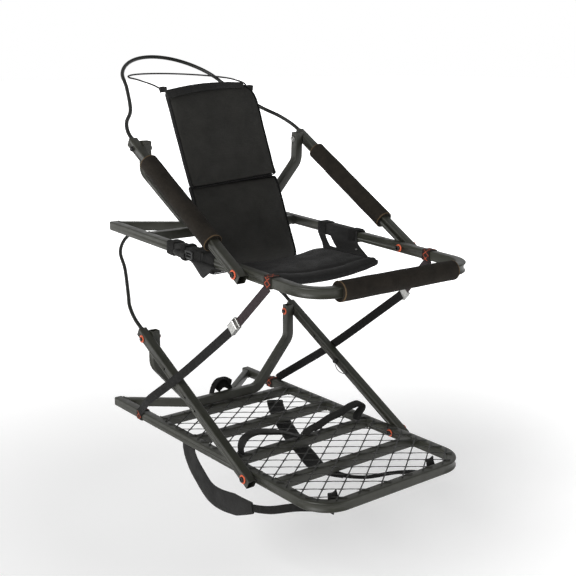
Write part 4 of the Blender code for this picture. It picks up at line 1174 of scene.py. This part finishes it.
def build_backrest():
    place, height = panel_frame(BACK_LOW, BACK_SEAM, LEAN[0], LEAN[1])
    outline = soft_outline([(0.160, 0.000, 0.030), (0.151, height - 0.002, 0.010), (-0.148, height - 0.002, 0.010),
                            (-0.150, 0.000, 0.022)])

    def lower_shape(u, v, w):
        tuck = max(0.0, v - height + 0.030) / 0.030
        return w * (1 - 0.35 * tuck) - 0.004 * tuck + cloth_folds(u, v, 0.0012)

    cushion("backrest_lower_panel", place, outline, 0.021, MATS["cloth"], "seat", "backrest_lower", "pack_cloth",
            3.0, 0.007, lower_shape, 0.014)

    place, height = panel_frame(BACK_SEAM, BACK_TOP, LEAN[1], LEAN[2])
    top = height - 0.001
    outline = soft_outline([(0.149, -0.006, 0.008), (0.148, top - 0.020, 0.046), (0.075, top + 0.004, 0.020),
                            (0.010, top + 0.006, 0.020), (-0.070, top + 0.003, 0.020), (-0.150, top - 0.004, 0.010),
                            (-0.146, -0.006, 0.008)])

    def upper_shape(u, v, w):
        lift = max(0.0, 0.020 - v) / 0.030
        return w + 0.004 * lift + cloth_folds(u, v, 0.0012)

    cushion("backrest_upper_panel", place, outline, 0.021, MATS["cloth"], "seat", "backrest_upper", "pack_cloth",
            3.0, 0.007, upper_shape, 0.014)

    for tag, x in (("left", -0.1725), ("right", 0.1205)):
        points = [on_seat(x + dx, BACK_TOP[0] + dy, BACK_TOP[1] + dz)
                  for dx, dy, dz in ((0.003, -0.002, -0.010), (0.001, 0.010, -0.009), (0.000, 0.020, -0.010),
                                     (0.000, 0.029, -0.012))]
        band(f"bungee_tab_{tag}", points, 0.016, Vector((0, 0, 1)), 0.0022, "webbing", "seat", "black_webbing")
        points = [on_seat(x, BACK_TOP[0] + 0.018 + 0.003 * k, BACK_TOP[1] - 0.010) for k in range(5)]
        knot = rod(f"bungee_knot_{tag}", points, 0.0044, 12, MATS["bungee"], [0.55, 1.0, 0.8, 1.0, 0.55])
        finish(knot, "seat", "bungee_cord")

    hinge = []
    for v, w in ((-0.026, -0.007), (-0.012, -0.006), (0.000, -0.005), (0.014, -0.006), (0.028, -0.007)):
        hinge.append([place(-0.143 + 0.286 * c / 24, v, w) for c in range(25)])
    obj = sheet_object("backrest_hinge_cloth", hinge, 0.0030, MATS["binding"])
    finish(obj, "seat", "pack_cloth")

    points = []
    widths = []
    for step in range(27):
        share = step / 26
        u = -0.1575 + 0.262 * share
        arch = 0.0065 * math.sin(math.pi * min(1.0, share * 1.02)) - 0.004 * (1 - share) ** 3
        points.append(place(u, top - 0.0105 + arch, 0.0145 + 0.002 * math.sin(math.pi * share)))
        widths.append(0.024 - 0.008 * share)
    across = [place(0, 1, 0) - place(0, 0, 0)] * 27
    hem = strap("backrest_top_sleeve", points, widths, across, 0.0042, MATS["cloth_dark"])
    finish(hem, "seat", "pack_cloth")


PAD_Z = -0.026
PAD_DROP = 0.055
PAD_THICK = 0.032
PAD_HALF = 0.186
PAD_FRONT = 0.268
PAD_REAR = 0.522
PAD_SAG = 0.020


def build_seat_pad():
    outline = soft_outline([(PAD_HALF, PAD_FRONT, 0.020), (PAD_HALF, PAD_REAR, 0.040), (-PAD_HALF, PAD_REAR, 0.040),
                            (-PAD_HALF, PAD_FRONT, 0.020)])

    def place(u, v, w):
        sag = PAD_SAG * (1 - (u / PAD_HALF) ** 2)
        return on_seat(u, v, PAD_Z - PAD_THICK / 2 - PAD_DROP * (v - PAD_FRONT) - sag + w)

    def shape(u, v, w):
        back = v - PAD_FRONT
        roll = math.exp(-((back - 0.017) / 0.015) ** 2)
        crease = math.exp(-((back - 0.044) / 0.007) ** 2)
        top = 1.0 if w > 0 else 0.0
        return w + 0.004 * roll * (1 if w > 0 else -1) - 0.005 * crease * top + cloth_folds(u, v, 0.0032) * (1 - roll)

    cushion("seat_pad_cushion", place, outline, 0.022, MATS["cloth_dark"], "seat", "seat_pad", "pack_cloth",
            3.5, 0.008, shape, 0.012)


build_backrest()
build_seat_pad()


# ---------------------------------------------------------------- slings that carry the seat pad
def build_slings():
    for side, sign in (("left", -1), ("right", 1)):
        gap = 0.0026
        low_x = SEAT.half - TUBE - gap
        high_x = SEAT.half + gap
        route = [(0.1886, 0.409, 0.204, -0.052), (0.1960, 0.421, 0.200, -0.0496), (0.2050, 0.436, 0.195, -0.0474),
                 (0.2140, 0.452, 0.190, -0.0445), (0.2250, 0.474, 0.184, -0.0405), (0.2360, 0.496, 0.178, -0.0350),
                 (0.2425, 0.510, 0.174, -0.0290), (low_x, 0.5175, 0.172, -0.0210), (low_x, 0.5175, 0.172, -0.010),
                 (low_x, 0.5175, 0.172, gap - 0.0015), (low_x + 0.0015, 0.5175, 0.172, gap),
                 (high_x - 0.0015, 0.5175, 0.172, gap), (high_x, 0.5175, 0.172, gap - 0.0015),
                 (high_x, 0.5175, 0.172, -0.013), (high_x, 0.5175, 0.172, -TUBE - gap + 0.0015),
                 (high_x - 0.0015, 0.5175, 0.172, -TUBE - gap), (low_x + 0.006, 0.5175, 0.172, -TUBE - gap)]
        columns = 28
        rows = []
        for k, (x, y, width, z) in enumerate(route):
            row = []
            for c in range(columns + 1):
                share = c / columns
                slack = 1.0 if 1 < k < 7 else 0.0
                ripple = slack * 0.0016 * noise.noise(Vector((share * 7.0, k * 0.5, sign * 3.0)))
                row.append(on_seat(sign * (x + ripple), y + width * (share - 0.5), z + ripple))
            rows.append(row)

        def window(i, j):
            return 2 <= i <= 5 and 19 <= j <= 22

        obj = sheet_object(f"seat_sling_{side}", rows, 0.0024, MATS["cloth_dark"], window)
        finish(obj, "seat", "pack_cloth", f"seat_hanger_{side}")
        build_sling_straps(side, sign, gap + 0.0024)
        build_ladder_buckle(side, sign, 0.485)


def rail_wrap(sign, y, spread):
    """Route of a band round a seat rail, from the inner side over the top and under."""
    low_x = SEAT.half - TUBE - spread
    high_x = SEAT.half + spread
    return [on_seat(sign * x, y, z)
            for x, z in ((low_x, -0.030), (low_x, -0.020), (low_x, spread - 0.003), (low_x + 0.003, spread),
                         (high_x - 0.003, spread), (high_x, spread - 0.003), (high_x, -TUBE - spread + 0.003),
                         (high_x - 0.003, -TUBE - spread), (low_x + 0.006, -TUBE - spread))]


def build_sling_straps(side, sign, spread):
    along_rail = SEAT.direction(0, 1, 0)
    for tag, y, width in (("front", 0.452, 0.030), ("rear", 0.583, 0.034)):
        band(f"sling_band_{side}_{tag}", rail_wrap(sign, y, spread), width, along_rail, 0.0022, "webbing", "seat",
             "black_webbing")
    if side == "left":
        points = []
        scales = []
        for step in range(19):
            share = step / 18
            z = -0.0150 + 0.0015 * math.sin(9 * share)
            points.append(on_seat(sign * (SEAT.half + 0.0100), 0.500 + 0.052 * share, z))
            scales.append(0.62 + 0.38 * math.sin(math.pi * share) ** 0.4)
        roll = rod("strap_roll_left", points, 0.0088, 16, MATS["cloth_dark"], scales)
        finish(roll, "seat", "black_webbing")
        for turn, radius in ((0, 0.0062), (1, 0.0034)):
            ring = []
            for step in range(20):
                angle = 2 * math.pi * step / 20
                ring.append(on_seat(sign * (SEAT.half + 0.0100 + radius * math.cos(angle)), 0.4990,
                                    -0.0150 + radius * math.sin(angle)))
            finish(rod(f"strap_roll_left_edge_{turn}", ring, 0.0011, 6, MATS["webbing"], None, True), "seat",
                   "black_webbing")
        rows = []
        for step in range(7):
            share = step / 6
            row = []
            for c in range(9):
                across = c / 8
                y = 0.372 + 0.088 * across + 0.012 * share
                drop = 0.040 * share * (1 - abs(across - 0.42) * 1.5)
                row.append(on_seat(sign * (SEAT.half + 0.0045 + 0.010 * math.sin(share * 2.2) * (1 - share * 0.4)), y,
                                   -0.020 - drop))
            rows.append(row)
        flap = sheet_object("strap_flap_left", rows, 0.0022, MATS["cloth_dark"])
        finish(flap, "seat", "black_webbing")
        for index, (y, spread, width) in enumerate(((0.520, 0.0062, 0.020), (0.470, 0.0054, 0.026))):
            band(f"strap_roll_left_band_{index}", rail_wrap(sign, y, spread), width, along_rail, 0.0036, "webbing",
                 "seat", "black_webbing")
        band("strap_wrap_left", rail_wrap(sign, 0.412, 0.0012), 0.054, along_rail, 0.0018, "webbing", "seat",
             "black_webbing")
    else:
        snap = [(0.0, 0.0030), (0.0012, 0.0028), (0.0016, 0.0014)]
        place = on_seat(0.2165, 0.400, -0.0395)
        finish(turned("sling_snap", snap, 16, place, (-0.45, -0.30, 0.85), MATS["zinc"]), "seat", "zinc_steel")


def build_ladder_buckle(side, sign, y):
    """Ladder-lock buckle: a frame with two slots, and rounded bars."""
    x = SEAT.half + 0.0094
    pieces = []
    for index, (z, radius) in enumerate(((-0.0185, 0.0030), (-0.0105, 0.0022), (-0.0025, 0.0030))):
        points = [on_seat(sign * x, y - 0.0145, z), on_seat(sign * x, y + 0.0145, z)]
        pieces.append(rod(f"sling_buckle_{side}_bar_{index}", points, radius, 12, MATS["plastic"]))
    for index, dy in enumerate((-0.0145, 0.0145)):
        points = [on_seat(sign * x, y + dy, -0.0195), on_seat(sign * x, y + dy, -0.0015)]
        pieces.append(rod(f"sling_buckle_{side}_cheek_{index}", points, 0.0030, 12, MATS["plastic"]))
    for piece in pieces:
        finish(piece, "seat", "buckle_plastic", f"hanger_buckle_{side}")


build_slings()

# ---------------------------------------------------------------- tethers
TETHER_X = PLATFORM.arm_x + TUBE / 2 + 0.0030
TETHER_SEAT_Y = 0.163
TETHER_RAIL_Y = 0.836
BUCKLE_Y = 0.292
BUCKLE_Z = 0.382


def rail_ring(place, sec, sign, y):
    """Rounded ring of points round a side rail, for a webbing loop."""
    clearance = 0.0014
    low_x = sec.half - TUBE - clearance
    high_x = sec.half + clearance
    arc = 0.0022
    points = []
    for cx, cz, start in ((high_x - arc, clearance - arc, 0), (low_x + arc, clearance - arc, 90),
                          (low_x + arc, -TUBE - clearance + arc, 180), (high_x - arc, -TUBE - clearance + arc, 270)):
        for degrees in range(start, start + 91, 30):
            angle = math.radians(degrees)
            points.append(place(sign * (cx + arc * math.cos(angle)), y, cz + arc * math.sin(angle)))
    return points


def build_tethers():
    for side, sign in (("left", -1), ("right", 1)):
        for tag, sec, y in (("seat", SEAT, TETHER_SEAT_Y), ("rail", PLATFORM, TETHER_RAIL_Y)):
            band(f"{tag}_loop_{side}", rail_ring(sec.place, sec, sign, y), 0.027, sec.direction(0, 1, 0), 0.0020,
                 "patterned", sec.prefix, "patterned_webbing", f"tether_{tag}_loop_{side}", closed=True)

        under = on_seat(sign * (SEAT.half - 0.006), TETHER_SEAT_Y + 0.006, -TUBE - 0.0016)
        buckle = on_platform(sign * TETHER_X, BUCKLE_Y, BUCKLE_Z)
        down = (buckle - under).normalized()
        points = smooth_route([under.lerp(buckle - down * 0.016, t / 5) for t in range(6)], 18)
        upper = strap(f"tether_top_{side}", points, [0.024] * 18, side_facing(points), 0.0024, MATS["tether_top"])
        finish(upper, "seat", "patterned_webbing", f"tether_upper_{side}")
        build_cam_buckle(side, sign, buckle, down)

        route = [buckle + down * 0.010, on_platform(sign * TETHER_X, 0.400, 0.300),
                 on_platform(sign * TETHER_X, 0.520, 0.212), on_platform(sign * TETHER_X, 0.620, 0.142),
                 on_platform(sign * (TETHER_X - 0.004), 0.730, 0.070),
                 on_platform(sign * (PLATFORM.half + 0.0052), 0.812, 0.0120),
                 on_platform(sign * (PLATFORM.half + 0.0036), 0.832, -0.0040)]
        points = smooth_route(route, 70)
        strip = strap(f"tether_strap_{side}", points, [0.0255] * 70, side_facing(points), 0.0018, MATS["webbing"])
        tuple(points[-1])
        tuple(points[0])
        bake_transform(strip)
        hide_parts(f"tether_{side}")


def build_cam_buckle(side, sign, centre, down):
    across = Vector((1, 0, 0)).cross(down).normalized()
    out = Vector((sign, 0, 0))

    def place(u, v, w):
        return centre + down * u + across * v + out * w

    tray = [(-0.0150, 0.0002), (0.0150, 0.0002), (0.0150, 0.0084), (0.0144, 0.0090), (0.0138, 0.0084),
            (0.0136, 0.0018), (-0.0136, 0.0018), (-0.0138, 0.0084), (-0.0144, 0.0090), (-0.0150, 0.0084)]
    bm = bmesh.new()
    rings = [[bm.verts.new(place(u, v, w)) for v, w in tray] for u in (-0.0175, -0.004, 0.008, 0.0178)]
    skin(bm, rings)
    close_ends(bm, rings)
    finish(new_object(f"cam_tray_{side}", bm, MATS["zinc"], 25.0), "seat", "zinc_steel", f"cam_buckle_{side}")
    for index, (u, w) in enumerate(((-0.0155, 0.0040), (0.0150, 0.0036))):
        points = [place(u, -0.0148, w), place(u, 0.0148, w)]
        finish(rod(f"cam_bar_{side}_{index}", points, 0.0019, 12, MATS["zinc"]), "seat", "zinc_steel")
    pin = [place(-0.0060, -0.0162, 0.0062), place(-0.0060, 0.0162, 0.0062)]
    finish(rod(f"cam_pin_{side}", pin, 0.0016, 12, MATS["zinc"]), "seat", "zinc_steel")

    lever = [(-0.0082, 0.0038), (-0.0060, 0.0024), (-0.0020, 0.0046), (0.0060, 0.0056), (0.0150, 0.0066),
             (0.0172, 0.0074), (0.0174, 0.0084), (0.0120, 0.0088), (0.0000, 0.0096), (-0.0060, 0.0100),
             (-0.0080, 0.0088), (-0.0084, 0.0064)]
    bm = bmesh.new()
    rings = [[bm.verts.new(place(u, v, w)) for u, w in lever] for v in (-0.0126, -0.006, 0.006, 0.0126)]
    skin(bm, rings)
    close_ends(bm, rings)
    finish(new_object(f"cam_tongue_{side}", bm, MATS["zinc"], 32.0), f"cam_lever_{side}", "zinc_steel",
           f"cam_lever_{side}")


build_tethers()


# ---------------------------------------------------------------- platform straps
# each foot strap's arch over the deck, as x and height
FOOT_STRAPS = {
    "left": ((-0.2120, 0.0045), (-0.2120, 0.026), (-0.205, 0.044), (-0.188, 0.0525), (-0.160, 0.0530),
             (-0.130, 0.0485), (-0.100, 0.0405), (-0.070, 0.0300), (-0.045, 0.0190), (-0.026, 0.0100),
             (-0.014, 0.0062)),
    "right": ((0.0020, 0.0062), (0.014, 0.0120), (0.040, 0.0210), (0.075, 0.0300), (0.110, 0.0380),
              (0.145, 0.0460), (0.178, 0.0530), (0.202, 0.0560), (0.2140, 0.0490), (0.2130, 0.0350),
              (0.2030, 0.0240), (0.1950, 0.0130), (0.1940, 0.0045)),
}


FOOT_STRAP_Y = 0.376
FOOT_STRAP_WIDTH = 0.027
FOOT_STRAP_GAP = 0.0036  # between the upper and the lower layer


def build_foot_straps():
    for side, profile in FOOT_STRAPS.items():
        route = smooth_route([on_platform(x, FOOT_STRAP_Y, z) for x, z in profile], 44)
        for layer, depth in ((0, 0.0), (1, FOOT_STRAP_GAP)):
            points = []
            for i, point in enumerate(route):
                ripple = 0.002 * math.sin(i * 0.5 + layer)
                points.append(point + Vector((0, ripple, 0)) - Vector((0, 0, depth if 4 < i < 40 else 0.0)))
            nodes = [f"foot_strap_{side}"] if layer == 0 else []
            band(f"foot_strap_{side}_{layer}", points, FOOT_STRAP_WIDTH - 0.002 * layer, Vector((0, 1, 0.10)), 0.0032,
                 "rubber", "platform", "strap_rubber", *nodes)


def build_front_tabs():
    """Folded webbing tabs on the front bar of the deck."""
    for tag, x in (("left", -0.186), ("right", 0.146)):
        points = smooth_route([on_platform(x + dx, y, z) for dx, y, z in (
            (-0.016, 0.0290, -0.0210), (-0.014, 0.0305, -0.0060), (-0.006, 0.0380, 0.0030), (0.010, 0.0500, 0.0035),
            (0.020, 0.0560, -0.0040), (0.018, 0.0480, -0.0160), (0.004, 0.0340, -0.0230))], 22)
        band(f"front_strap_tab_{tag}", points, 0.020, Vector((1, 0.25, 0)), 0.0026, "webbing", "platform",
             "black_webbing")


def shoulder_strap(side, points, facing, width, taper, full, pad_end, tail_start, thickness):
    """Padded strap that narrows past point number full, and the webbing that goes on from it."""
    widths = [width - taper * max(0, i - full) for i in range(pad_end)]
    pad = strap(f"shoulder_pad_{side}", points[:pad_end], widths, facing[:pad_end], thickness, MATS["cloth_dark"],
                False, 8)
    finish(pad, "platform", "black_webbing", f"shoulder_strap_{side}")
    tail = points[tail_start:]
    tail = strap(f"shoulder_webbing_{side}", tail, [0.021] * len(tail), facing[tail_start:], 0.0020, MATS["webbing"])
    finish(tail, "platform", "black_webbing")


def build_shoulder_straps():
    left = [(-0.2413, 0.586, -0.0320), (-0.2413, 0.584, -0.050), (-0.2450, 0.560, -0.075), (-0.2460, 0.522, -0.103),
            (-0.2470, 0.480, -0.127), (-0.2460, 0.435, -0.134), (-0.2440, 0.375, -0.127), (-0.2400, 0.305, -0.113),
            (-0.2330, 0.225, -0.092), (-0.2140, 0.140, -0.058), (-0.1860, 0.066, -0.0400), (-0.1800, 0.040, -0.0400)]
    points = smooth_route([on_platform(*p) for p in left], 60)
    shoulder_strap("left", points, side_facing(points), 0.060, 0.0042, 26, 34, 30, 0.0065)

    right = [(0.168, 0.728, -0.0310), (0.150, 0.700, -0.0350), (0.105, 0.620, -0.0380), (0.060, 0.530, -0.0360),
             (0.020, 0.440, -0.0380), (-0.015, 0.350, -0.0360), (-0.042, 0.270, -0.0390), (-0.040, 0.190, -0.0360),
             (0.005, 0.135, -0.0370), (0.075, 0.105, -0.0340), (0.122, 0.070, -0.0310), (0.140, 0.014, -0.0290)]
    points = smooth_route([on_platform(*p) for p in right], 70)
    across = [Vector((0, 0, 1)).cross(points[min(i + 1, 69)] - points[max(i - 1, 0)]) for i in range(70)]
    shoulder_strap("right", points, across, 0.050, 0.004, 43, 50, 46, 0.0060)


HANDLE_X = 0.003
HANDLE_Y = 0.784
HANDLE_REACH = 0.037
HANDLE_RISE = 0.060
HANDLE_FOOT = 0.0012
SLEEVE_START = -0.018
SLEEVE_LENGTH = 0.056
SLEEVE_Z = 0.034


def build_carry_handle():
    points = []
    for step in range(21):
        angle = math.pi * step / 20
        points.append(on_platform(HANDLE_X - HANDLE_REACH * math.cos(angle), HANDLE_Y,
                                  HANDLE_FOOT + HANDLE_RISE * math.sin(angle)))
    band("carry_grip", points, 0.023, Vector((0, 1, 0)), 0.0034, "webbing", "platform", "black_webbing", "carry_handle")
    points = []
    for step in range(13):
        share = step / 12
        points.append(on_platform(SLEEVE_START + SLEEVE_LENGTH * share, HANDLE_Y,
                                  SLEEVE_Z + 0.014 * math.sin(math.pi * share)))
    band("carry_sleeve", points, 0.034, Vector((0, 0.35, 1.0)), 0.0060, "webbing", "platform", "black_webbing")


def build_pin():
    sec = PLATFORM
    centre = sec.arm_point(0.300, 0, sec.arm_x)
    inner = -TUBE / 2
    profile = [(inner - 0.0100, 0.0048), (inner - 0.0096, 0.0060), (inner - 0.0040, 0.0072), (inner - 0.0010, 0.0072),
               (inner - 0.0006, 0.0068), (inner - 0.0006, 0.0031), (-inner + 0.0070, 0.0031), (-inner + 0.0090, 0.0020)]
    finish(turned("hitch_pin", profile, 28, centre, (1, 0, 0), MATS["dark_bolt"]), "platform_pin", "zinc_steel",
           "platform_pin")
    start = Vector((inner - 0.0065, -0.0010, -0.0075))
    route = [start, start + Vector((-0.001, -0.014, -0.016)), start + Vector((0.001, -0.036, -0.022)),
             start + Vector((0.0030, -0.056, -0.016))]
    points = smooth_route([centre + p for p in route], 40)
    finish(rod("pin_bail", points, 0.0011, 10, MATS["dark_bolt"]), "platform_pin", "zinc_steel", "pin_wire")


build_foot_straps()
build_front_tabs()
build_shoulder_straps()
build_carry_handle()
build_pin()
